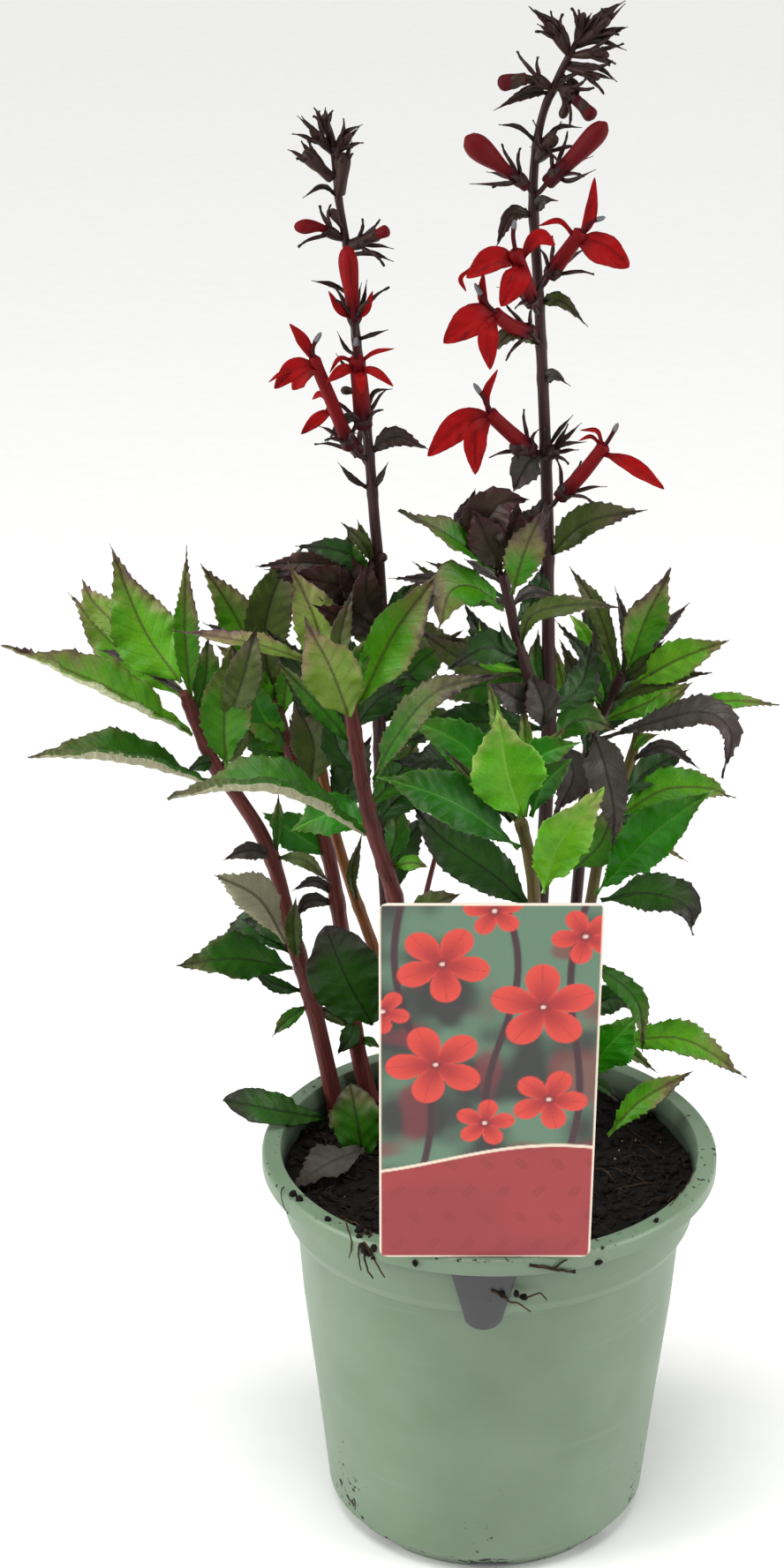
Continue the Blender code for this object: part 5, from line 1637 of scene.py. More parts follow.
STEMS: dict[str, LeafyStem] = {
    "stem_left": LeafyStem("stem", Stalk("maroon", 3.7, 2.5, ((-60.2, 175.8, 46),
        (-68.5, 218, 46), (-76.7, 251, 45), (-85.4, 288, 42), (-96.8, 310, 38), (-106.2, 325, 35),
        (-116.4, 353, 32))), (
        *leaves(Kind.PURPLE, (7, ((-83, 285, 42), (-93, 288, 34), (-103, 284, 30))),
            (6, ((-116, 352, 33), (-134, 366, 44), (-148, 370, 50)))),
        *leaves(Kind.OLIVE, (6, ((-83, 285, 42), (-72, 284, 36), (-62, 274, 32))),
            (7, ((-75, 238, 45), (-76.5, 256, 36), (-75.5, 268, 34))),
            (8, ((-59, 176, 46), (-60, 172, 34), (-63, 164, 28))),
            (6, ((-104, 322, 35), (-96, 332, 34), (-93, 343, 36)), (0.3, -1, 0)),
            (14, ((-103, 334, 34), (-95, 356, 14), (-89, 379, 13)), (0.1, -1, 0.3), 0.6)),
        *leaves(Kind.GREEN, (5, ((-83, 286, 42), (-82, 300, 38), (-81.5, 311, 36)), (0.3, -1, 0)),
            (6, ((-71, 222, 46), (-79, 216, 40), (-85.5, 208, 38))),
            (11, ((-112, 344, 34), (-108, 360, 40), (-107, 376, 46)), (0.2, -1, 0.2))),
        *leaves(Kind.DARK, (13, ((-76, 243, 45), (-92, 256, 54), (-104, 250, 60)),
            (0, -0.8, 0.7)), (9, ((-76, 246, 45), (-86, 256, 52), (-97, 259, 56))),
            (6, ((-73, 228, 46), (-84, 231, 40), (-95, 240, 38))),
            (6, ((-105, 325, 35), (-110, 324, 28), (-116, 321, 24)))),
        *leaves(Kind.BRIGHT, (10, ((-114, 350, 32), (-115.5, 380, 28), (-114, 411, 26)),
            (0.3, -1, 0.2), 0.42, 0.3, (0, 0), 0.4, (0.25, 0.2, 0))),
        *leaves(Kind.PALE, (12, ((-116, 352, 36), (-138, 377, 52), (-149, 389, 60),
            (-153, 398, 64)), (0.2, -0.9, 0.5), 0.5, 0.2, (0, 1.5), 0.3)),
    )),
    "stem_left_inner": LeafyStem("stem", Stalk("maroon", 3.7, 2.3, ((-47.5, 182, 58),
        (-52.7, 208, 58), (-57.9, 253, 56), (-60.7, 274, 54), (-65.4, 298, 52), (-71.6, 315, 50),
        (-78.1, 333, 48), (-83, 350, 46))), (
        *leaves(Kind.PURPLE, (6, ((-59.5, 265, 55), (-70, 267, 50), (-76, 259, 48))),
            (4.5, ((-59, 268, 55), (-68, 275, 50), (-77, 271, 48))),
            (4, ((-83, 350, 46), (-97, 374, 46), (-109, 381, 48))),
            (5, ((-81, 344, 47), (-89, 352, 44), (-96, 349, 42)))),
        *leaves(Kind.BRIGHT, (15, ((-82.6, 349, 46), (-96, 382, 44), (-109, 404, 40)),
            (0.1, -1, 0.5), 0.5, 0.3, (0, 0), 0.4, (0.2, 0.2, 0))),
        *leaves(Kind.LUSH, (15, ((-63, 286, 53), (-76, 296, 48), (-88, 304, 46))),
            (13, ((-80, 334, 48), (-88, 346, 38), (-92, 362, 34)))),
        *leaves(Kind.OLIVE, (18, ((-82, 348, 46), (-86, 374, 42), (-81, 396, 40), (-71, 411, 38)),
            (0.2, -1, 0.3), 0.5, 0.3, (0, 0), 0.5, (0, 0.8, 0)),
            (19, ((-70, 312, 50), (-68, 332, 44), (-75, 350, 42)), (0, -1, 0.3), 0.6),
            (6, ((-53, 212, 58), (-62, 218, 52), (-69, 221, 50)))),
        *leaves(Kind.BRIGHT, (11, ((-82, 346, 46), (-90, 358, 43), (-95, 368, 42))),
            (8, ((-80, 341, 47), (-78, 357, 43), (-77, 369, 42))),
            (13, ((-78, 332, 48), (-87, 341, 40), (-97, 346, 36)), (0.2, -1, 0.4)),
            (14, ((-82, 344, 46), (-92, 362, 54), (-104, 372, 60))),
            (8, ((-76, 328, 49), (-86, 334, 44), (-95, 332, 42)))),
        *leaves(Kind.GREEN, (12, ((-81.4, 345, 46), (-82, 362, 50), (-90, 378, 54))),
            (14, ((-78, 326, 49), (-88, 335, 42), (-99, 341, 38))),
            (15, ((-82, 346, 46), (-70, 362, 56), (-62, 382, 64))),
            (4, ((-52, 207, 58), (-47, 206, 54), (-43, 203, 52)))),
        *leaves(Kind.DARK, (8, ((-53.5, 217, 58), (-55, 208, 50), (-60, 200, 48))),
            (13, ((-78, 332, 48), (-92, 352, 60), (-99, 368, 66))),
            (12, ((-74, 322, 50), (-62, 340, 62), (-60, 360, 68)))),
    )),
    "stem_orange": LeafyStem("stem_olive", Stalk("orange", 2.7, 2.1, ((-35.2, 186.2, 66),
        (-44.5, 240, 68), (-48.5, 255, 69), (-53.4, 271, 70), (-59.4, 292, 70), (-66, 325, 70))), (
        *leaves(Kind.OLIVE, (5, ((-51.2, 264, 69.5), (-54, 278, 62), (-50, 294, 60)),
            (0.3, -1, 0.2), 0.6)),
        *leaves(Kind.BRIGHT, (9, ((-65, 320, 70), (-73, 330, 62), (-77, 343, 58)))),
        *leaves(Kind.DARK, (16, ((-66, 322, 70), (-65, 346, 44), (-74, 364, 27), (-86, 379, 24))),
            (15, ((-60, 298, 70), (-54, 318, 74), (-46, 336, 78))),
            (14, ((-62, 306, 70), (-55, 326, 79), (-58, 348, 84))),
            (12, ((-63, 310, 70), (-74, 322, 76), (-84, 326, 80)))),
    )),
    "stem_front": LeafyStem("stem", Stalk("maroon", 3.7, 2.6, ((-24.9, 166.7, 26), (-31, 230, 20),
        (-37.5, 268, 14), (-41.8, 284, 10), (-45.6, 296, 8), (-49.4, 315, 5), (-53.4, 341, 1),
        (-55, 350, 0))), (
        *leaves(Kind.DARK, (13, ((-50, 318, 5), (-59, 332, 14), (-60, 350, 20))),
            (13, ((-53, 338, 2), (-44, 350, 14), (-33, 356, 22))),
            (14, ((-38, 268, 14), (-35, 289, 22), (-24, 303, 28))),
            (15, ((-46, 298, 8), (-34, 312, 20), (-20, 318, 30)))),
        *leaves(Kind.OLIVE, (8, ((-55, 350, 0), (-58, 372, 6), (-53, 394, 10)), (0, -1, 0.2), 0.6),
            (12, ((-33, 250, 17), (-24, 264, 4), (-12, 270, 2)))),
        *leaves(Kind.LUSH, (17, ((-46, 297, 8), (-61, 303, 16), (-78, 296, 22)), (0, -0.9, 0.5))),
        *leaves(Kind.GREEN, (9, ((-51.8, 330, 2.5), (-66, 348, 6), (-84, 368, 10)), (-0.4, -0.8, 0.4),
            0.5, 0.25, (1.2, 0)), (11, ((-41, 281, 10), (-37, 296, 16), (-40, 312, 20)), (0.3, -1, 0.2)),
            (14, ((-48, 306, 7), (-36, 320, 24), (-28, 336, 32))),
            (8, ((-55, 349, 0), (-52, 364, 3), (-45, 378, 6)))),
        *leaves(Kind.BRIGHT, (6.5, ((-38, 281, 12), (-31, 283, 8), (-25, 281, 6)))),
    ), (Stalk("maroon", 1.3, 0.9, ((-29.5, 240, 18), (-25.3, 269, 24), (-20.5, 291, 28)), 8, 0),)),
    "flower_stem_left": LeafyStem("stem_dark", Stalk("brown", 2.9, 1.0, ((-33.5, 173.4, 40),
        (-40, 250, 36), (-43.2, 336, 30), (-42.6, 388, 25), (-45, 422, 22), (-47.2, 451, 21),
        (-51.4, 490, 20), (-54.2, 520, 19), (-57.4, 542, 18), (-59.2, 560, 17), (-61.2, 568, 17))),
        (*leaves(Kind.YOUNG, (14, ((-43.5, 388, 24), (-60, 396, 20), (-82, 399, 18))),
            (12, ((-43, 380, 25), (-52, 396, 18), (-57, 413, 16)), (0.2, -1, 0.2)),
            (11, ((-43, 378, 24), (-48, 392, 12), (-46, 407, 8)), (0.2, -1, 0.2)),
            (9, ((-43.5, 396, 24), (-66, 404, 26), (-89, 403, 28))),
            (10, ((-43, 376, 25), (-56, 382, 14), (-68, 388, 10))),
            (7.5, ((-46.6, 446, 21), (-38, 453, 18), (-25, 448, 14)), (0, -1, 0.3))),
        *leaves(Kind.PURPLE, (13, ((-43.5, 392, 24), (-62, 399, 34), (-86, 402, 40)),
            (0, -0.9, 0.5)), (13, ((-43, 374, 25), (-57, 388, 32), (-64, 411, 36))),
            (12, ((-43, 383, 25), (-58, 391, 30), (-74, 390, 36))),
                        (4, ((-48.5, 461, 21), (-56, 459, 16), (-62, 451, 13)))),
        *leaves(Kind.DARK, (9, ((-44, 400, 24), (-58, 409, 14), (-74, 411, 10))),
            (4, ((-43, 350, 30), (-36, 360, 20), (-28, 357, 16))),
            (13, ((-43, 340, 30), (-30, 352, 36), (-14, 354, 40))),
            (14, ((-43, 376, 26), (-32, 388, 34), (-18, 392, 40))),
            (14, ((-43, 352, 29), (-56, 366, 38), (-66, 384, 44)))),
        *leaves(Kind.GREEN, (15, ((-43, 346, 30), (-29, 364, 30), (-12, 378, 32))),
            (14, ((-43, 330, 30), (-28, 340, 34), (-10, 344, 36))),
            (13, ((-43, 360, 28), (-35, 380, 32), (-28, 400, 36))),
            (8, ((-43.5, 392, 24), (-52, 404, 18), (-55, 418, 14)))),
        *leaves(Kind.OLIVE, (5, ((-44, 402, 24), (-50, 413, 18), (-57, 420, 16))),
            (9, ((-43, 366, 27), (-51, 381, 22), (-60, 393, 20)), (0.2, -1, 0.2)),
            (12, ((-43, 368, 27), (-30, 376, 22), (-13, 373, 18))),
            (8, ((-43, 376, 26), (-50, 390, 18), (-49, 404, 16)), (0.2, -1, 0.2)),
            (4, ((-44, 405, 24), (-49, 414, 19), (-51, 421, 18)), (0.3, -1, 0))),
        *leaves(Kind.YOUNG, (2.6, ((-46.6, 433, 22), (-53, 437, 18), (-58, 443, 16))),
            (2.6, ((-46, 432, 22), (-43, 437, 18), (-40, 443, 16))),
            (1.8, ((-51.6, 489, 20), (-46, 491, 17), (-40, 493, 15))),
            (2.2, ((-54.8, 520, 19), (-46, 521, 15), (-38, 518, 12))),
            (2, ((-53.5, 506, 19), (-60, 509.5, 15), (-67, 511, 12))),
            (2, ((-57, 541, 18), (-63, 545, 15), (-70, 541, 12))),
            (1.8, ((-52.5, 498, 19.6), (-49, 503, 16), (-47.5, 511, 14))),
            (1.6, ((-50.8, 483, 20), (-55, 486, 16), (-58, 492, 14))),
            (1.6, ((-50.3, 477, 20), (-55, 479, 16), (-58.5, 484, 14))),
            (1.8, ((-48, 457, 21), (-45.5, 469, 16), (-38.5, 471, 14))),
            (2, ((-60, 560, 17), (-66, 565, 12), (-71.5, 570, 9))),
            (2, ((-59.6, 558, 17.2), (-55, 564, 13), (-49, 567, 10))))), (
        Bud(2.0, ((-45, 401, 22), (-43, 405, 20), (-41, 408, 20)), True),
        Bud(1.7, ((-50, 468, 20), (-53, 470, 17), (-57, 470.5, 16)), True),
        Calyx(2.2, ((-56, 526, 19), (-62, 529.5, 16)), 5, 9),
        Bud(2.8, ((-58, 528, 18), (-65, 530.5, 15), (-73, 530.5, 11)), foot=0.5, deep=0.6),
        Calyx(2.2, ((-54.8, 523, 19), (-49, 525, 16)), 5, 9),
        Bud(2.6, ((-53, 524, 18), (-47, 526.5, 15), (-43, 528, 12.5)), True, 0.8),
        Bud(2.4, ((-47, 526.5, 15), (-43, 528, 13), (-39.5, 529.5, 12)), foot=0.8, deep=0.7),
        Calyx(2.8, ((-62, 550, 14), (-68, 556, 11)), 5, 8, 0.3),
        Bud(3.0, ((-60, 548, 16), (-65, 553, 13), (-69, 558, 11)), True, 0.7),
        Calyx(2.7, ((-56.5, 548, 13), (-55.8, 555, 11)), 5, 7, 0.3),
        Bud(2.9, ((-57, 543, 18), (-56, 550, 12), (-55.5, 557, 11)), True, 0.8),
        Bud(1.8, ((-56, 530, 18), (-58, 533, 14), (-60, 537, 13)), True),
        Calyx(1.7, ((-59.5, 557, 17), (-64, 562, 13)), 5, 10, 0.4),
        Bud(1.6, ((-60, 557, 17), (-64, 561, 14), (-67, 566, 12)), True),
        Calyx(1.7, ((-59, 556, 17), (-55.5, 560, 13)), 5, 10, 0.4),
        Bud(1.6, ((-59.5, 556, 17), (-56, 559, 13), (-53, 564, 11)), True),
        Calyx(1.7, ((-61, 563, 17), (-62, 568, 15)), 6, 7, 0.4),
        Bud(1.5, ((-61, 562, 17), (-61.5, 566, 15), (-62, 571, 15)), True),
    )),
    "flower_stem_right": LeafyStem("stem_dark", Stalk("brown", 3.1, 1.1, ((13.7, 170.8, 34),
        (18, 240, 30), (20.6, 335, 24), (19.8, 370, 20), (18.9, 411, 16), (17.5, 445, 12),
        (15.4, 482, 10), (13.4, 512, 8), (11.5, 540, 8), (12.2, 558, 8), (14.8, 572, 8),
        (20, 584.5, 8), (25.5, 596, 8))), (
        *leaves(Kind.OLIVE, (13, ((18.8, 406, 16), (33, 420, 8), (55, 425, 2)), (0, -0.8, 0.5),
            0.5, 0.3, (0, 1.2), 0.4, (0.2, 0.6, 0)),
            (6.5, ((14.8, 487, 10), (5, 492, -4), (-4, 483, -8)), (0, -1, 0.5), 0.5, 0.3,
            (0, 0), 0, (0.5, 0.9, 0.3)),
            (5.5, ((14.2, 503, 9), (22, 503.5, 5), (32, 494, 2)), (0, -1, 0.5), 0.4, 0.3,
            (0, 0), 0, (0.45, 0.6, 0.4))),
        *leaves(Kind.YOUNG, (5.5, ((12.4, 534, 8), (4, 535, 4), (-2, 522, 2))),
            (5, ((24, 590, 8), (19, 599, 4), (9, 608, 0))),
            (4, ((20, 585, 8), (25, 580, 7), (23, 572, 6))),
            (4, ((25, 594, 8), (34, 598, 6), (43, 601, 4))),
            (3.5, ((25.5, 596, 8), (33, 604, 5), (42, 610, 3))),
            (4, ((17, 578, 8), (9, 578, 6), (-3, 572, 4)))),
        *leaves(Kind.PURPLE,
            (13, ((20.6, 334, 24), (30, 320, 28), (22, 300, 30)), (0.3, -1, 0)),
            (5, ((15.6, 474, 10), (20, 476, 7), (26, 472, 6)), (0, -1, 0.4), 0.35),
            (4.5, ((12, 536, 8), (15, 540, 5), (20, 540, 3)), (0, -1, 0.4), 0.35),
            (12, ((17.6, 448, 12), (11, 443, 6), (6, 432, 3)), (0, -1, 0.1), 0.6)),
        *leaves(Kind.DARK,
            (15, ((20, 338, 24), (-8, 341, 20), (-33, 333, 16))),
            (13, ((20, 345, 23), (32, 356, 34), (36, 374, 42))),
            (15, ((20.6, 330, 24), (6, 330, 34), (-16, 334, 42)))),
        *leaves(Kind.GREEN, (15, ((20, 350, 22), (-2, 356, 24), (-24, 350, 28))),
            (14, ((20, 356, 21), (2, 368, 28), (-17, 375, 32))),
            (13, ((20.6, 332, 24), (32, 342, 34), (46, 338, 40))),
            (7, ((20, 352, 22), (15, 364, 20), (16, 378, 22)), (0.3, -1, 0))),
        *leaves(Kind.YOUNG, (2, ((16.6, 446, 12), (24, 452, 6), (30, 458, 2))),
            (1.8, ((16.6, 446, 12), (24, 450, 5), (32, 451, 1))),
            (1.8, ((16.6, 446, 12), (22, 455, 8), (27, 461, 6))),
            (2, ((23, 591, 8), (20, 601, 3), (11, 607, 0))),
            (2, ((22.5, 588.5, 8), (33, 587, 3), (40, 582, 0))),
            (2, ((25, 594, 8), (34, 596, 4), (43, 593, 2))),
            (2, ((25.5, 595, 8), (35, 602, 4), (42, 609, 2))),
            (1.8, ((13, 560, 8), (20, 566, 5), (28, 566, 3))),
            (1.8, ((13, 560, 8), (6, 566, 5), (-1, 567, 3))),
            (1.8, ((16, 575, 8), (22, 583, 4), (30, 586, 2))))), (
        Calyx(2.4, ((16.6, 444, 12), (21, 448, 7)), 5, 8),
        Calyx(2.6, ((12.4, 554, 8), (16, 559, 2)), 5, 9),
        Bud(2.6, ((12.4, 555, 8), (15.5, 559, 2), (19, 563, -1)), True),
        Calyx(2.4, ((17, 580, 8), (11, 583, 5)), 5, 8),
        Bud(2.7, ((15, 581.5, 8), (8, 583, 3), (1, 581, 0)), True),
        Bud(3.1, ((8, 583, 3.2), (4, 582.4, 2), (-1.5, 581, 0)), foot=0.75, deep=0.9),
        Calyx(2.4, ((19, 581, 8), (24, 578, 4)), 5, 8),
        Bud(2.2, ((20, 580, 8), (26, 576, 3), (31, 570.5, 0)), True),
        Bud(2.8, ((25.5, 576, 3), (29, 572.6, 1.5), (32.3, 569, 0)), foot=0.75, deep=0.9),
        Bud(1.8, ((20, 580, 8), (22, 574, 4), (21, 569, 3)), True),
        Calyx(1.9, ((23, 591, 8), (18, 599, 4)), 5, 10, 0.4),
        Bud(1.6, ((23, 591, 8), (19, 598, 4), (15, 603, 2)), True),
        Calyx(1.8, ((25.5, 595, 8), (27, 601, 6)), 5, 9, 0.35),
        Bud(1.5, ((25.5, 595, 8), (26.5, 601, 6), (28, 606, 5)), True),
        Calyx(2.0, ((25.5, 595, 8), (33, 600, 4)), 5, 11, 0.35),
        Bud(1.8, ((25.5, 595, 8), (32, 600, 4), (37, 604, 2)), True),
        Calyx(1.8, ((24, 591, 8), (32, 592, 4)), 5, 11, 0.4),
        Bud(1.7, ((24, 591, 8), (31, 592, 4), (37, 591, 2)), True),
        Calyx(1.7, ((22, 587, 8), (30, 585, 3)), 5, 10, 0.4),
        Bud(1.6, ((22, 587, 8), (29, 585, 3), (34, 583, 2)), True),
    )),
    "stem_centre": LeafyStem("stem_olive", Stalk("olive", 2.8, 2.3, ((7.9, 161.4, 16),
        (13, 215, 4), (16.2, 264, -8), (14, 285, -14), (10.4, 301, -18))), (
        *leaves(Kind.BRIGHT, (7, ((10.8, 299, -18), (12, 325, 0), (10, 356, 4)), (0.2, -1, 0.2)),
            (8, ((12, 302, -17), (16, 325, -10), (28, 340, -8))),
            (6, ((10.5, 300, -18), (2, 335, -6), (-3, 362, -2)), (0.2, -1, 0.2))),
        *leaves(Kind.LUSH, (14, ((12, 304, -16), (17, 326, -14), (33, 333, -12))),
            (17, ((9, 300, -16), (-10, 330, -8), (-36, 344, -2)))),
        *leaves(Kind.OLIVE, (4, ((10, 300, -17), (-8, 318, -20), (-20, 331, -22)))),
        *leaves(Kind.DARK, (20, ((16.2, 263, -8), (0, 278, -6), (-19, 293, 0), (-31, 307, 6)),
            (0.1, -0.9, 0.5))),
    )),
    "stem_right": LeafyStem("stem_olive", Stalk("olive", 2.7, 1.7, ((29.7, 173.5, 40),
        (35, 240, 36), (39.6, 279, 32), (43.4, 295, 32), (47.6, 311, 32), (51.9, 326, 33),
        (55, 340, 34))), (
        *leaves(Kind.PURPLE, (5.5, ((51.5, 325, 33), (64, 331, 24), (78, 322, 18)),
            (0, -0.8, 0.6))),
        *leaves(Kind.BRIGHT, (7, ((54.6, 338, 34), (84, 349, 38), (107, 348, 44)),
            (0, -0.8, 0.6)), (4, ((52, 328, 33), (56, 334, 28), (62, 336, 26))),
            (10, ((54.6, 338, 34), (62, 346, 42), (73, 356, 48)))),
        *leaves(Kind.DARK, (12, ((33, 216, 38), (47, 225, 32), (58, 222, 28))),
            (10, ((44, 297, 32), (55, 301, 40), (67, 297, 44))),
            (5, ((31, 186, 40), (43, 187, 34), (52, 178, 30))),
            (12, ((47, 309, 32), (60, 322, 44), (74, 330, 50)))),
        *leaves(Kind.GREEN, (9, ((35.3, 243, 36), (56, 225, 18), (60, 201, 14)), (0.2, -1, 0.1),
            0.45), (6, ((34, 205, 39), (52, 203, 30), (66, 192, 26)))),
        *leaves(Kind.DEAD, (6, ((30, 175, 40), (40, 168, 34), (52, 162, 32)))),
        *leaves(Kind.PALE, (5, ((42, 290, 32), (58, 293, 40), (75, 283, 44)))),
    )),
    "shoot_by_flower_stem": LeafyStem("stem_dark", Stalk("brown", 2.1, 1.7, ((17.5, 345, 8),
        (13, 359, 3), (8.8, 372, 1), (5.4, 387, 0), (2.4, 400, 0)), sunk=0.0), (
        *leaves(Kind.OLIVE, (8, ((9, 371, 1), (14, 384, -6), (30, 388, -10), (46, 387, -12)),
            (0, -0.8, 0.6)), (11, ((12, 360, 3), (-10, 365, 8), (-30, 379, 14)))),
        *leaves(Kind.PURPLE, (5, ((5.4, 387, 0), (13, 393, 8), (25, 390, 10)), (0, -0.8, 0.6)),
            (12, ((16, 347, 7), (8, 351, 2), (-3, 357, -2))),
            (14, ((18, 338, 8), (18, 348, 3), (13, 361, 1)), (0.2, -1, 0.2), 0.6),
            (4, ((3, 396, 0), (-5, 402, 8), (-12, 406, 12))),
            (6, ((5, 388, 0), (-18, 397, 16), (-40, 398.5, 22))),
            (13, ((1, 399, 0), (-8, 412, 2), (-11, 422, 2), (-8, 433, 2)), (0.2, -1, 0.3), 0.55, 0.35),
            (11, ((3, 399, 0), (8, 414, 4), (15, 422, 5), (17, 430, 5)), (-0.3, -1, 0.2), 0.6, 0.3)),
        *leaves(Kind.YOUNG, (18, ((1, 402, 0), (-5, 415, -4), (1, 427, -6), (12, 429, -5)),
            (-0.3, -1, 0.3), 0.5, 0.3), (15, ((2, 400, 0), (-3, 412, -7), (-9, 425, -9)),
            (0, -1, 0.2), 0.6), (13, ((3, 402, 0), (5, 414, -6), (8, 427, -8)), (0, -1, 0.2), 0.6),
            (13, ((3, 404, 0), (10, 414, -2), (17, 424, -2)), (0, -1, 0.3), 0.6)),
        *leaves(Kind.DARK, (4, ((9.8, 368, 1), (5, 372, -4), (1.5, 381, -6)), (0.3, -1, 0)),
            (11, ((12.5, 360, 3), (-2, 371, 14), (-12, 389, 16))),
            (13, ((9.8, 366, 2), (-3, 371, -6), (-18, 362, -12))),
            (6, ((4, 390, 0), (-11, 399, 12), (-26, 405, 18))),
            (9, ((7, 380, 1), (15, 392, 12), (18, 406, 18)))),
        *leaves(Kind.GREEN, (7, ((5, 387, 0), (-15, 393, 20), (-31, 405, 26)))),
        *leaves(Kind.FRESH, (5, ((12, 361, 3), (-4, 366, 1), (-6, 381, -1)))),
    )),
    "shoot_right": LeafyStem("stem_dark", Stalk("brown", 2.7, 1.9, ((25.9, 184.2, 62),
        (31, 240, 60), (34, 300, 56), (36, 332, 54), (41.4, 346, 51), (48, 361, 48))), (
        *leaves(Kind.OLIVE, (8, ((47, 358, 49), (38, 385, 56), (27, 403, 60))),
            (9, ((48, 360, 48), (54, 374, 46), (55, 390, 46))),
            (6, ((47, 357, 49), (56, 365, 44), (63, 374, 42))),
            (6, ((40, 343, 52), (37, 362, 48), (37, 382, 46))),
            (8, ((38, 338, 53), (31, 358, 46), (24, 374, 42))),
            (8, ((42.8, 349, 50), (62, 358, 40), (81, 361, 34)), (0, -0.9, 0.6))),
        *leaves(Kind.BRIGHT, (10, ((36.4, 333, 54), (27, 352, 60), (22, 372, 64))),
            (7, ((42, 348, 50), (44, 362, 56), (38, 377, 60))),
            (11, ((39.4, 341, 52), (60, 350, 58), (74, 357, 62)), (0, -0.9, 0.5)),
            (6, ((41, 346, 51), (37, 356, 44), (31, 366, 42)))),
        *leaves(Kind.FRESH, (6, ((42, 348, 51), (34, 374, 52), (27, 385, 54)))),
        *leaves(Kind.PURPLE, (6, ((45.8, 356, 49), (60, 365, 52), (64, 373, 54))),
            (5, ((47.6, 360.5, 48), (62, 378, 54), (72, 389, 58))),
            (4, ((48, 361, 48), (48, 380, 52), (44, 395, 54))),
            (5, ((48, 361, 48), (52, 378, 53), (56, 392, 55)))),
        *leaves(Kind.DARK, (5, ((35.5, 326, 54), (34, 340, 44), (33, 349, 42))),
            (4, ((35.5, 337, 54), (29, 343, 46), (21, 344, 42))),
            (8, ((41, 345, 51), (38, 362, 42), (22, 382, 38))),
            (12, ((36, 333, 54), (50, 350, 66), (66, 367, 72))),
            (12, ((42, 348, 50), (55, 363, 64), (60, 385, 70))),
            (11, ((44, 352, 50), (37, 372, 64), (33, 392, 70)))),
    )),
}

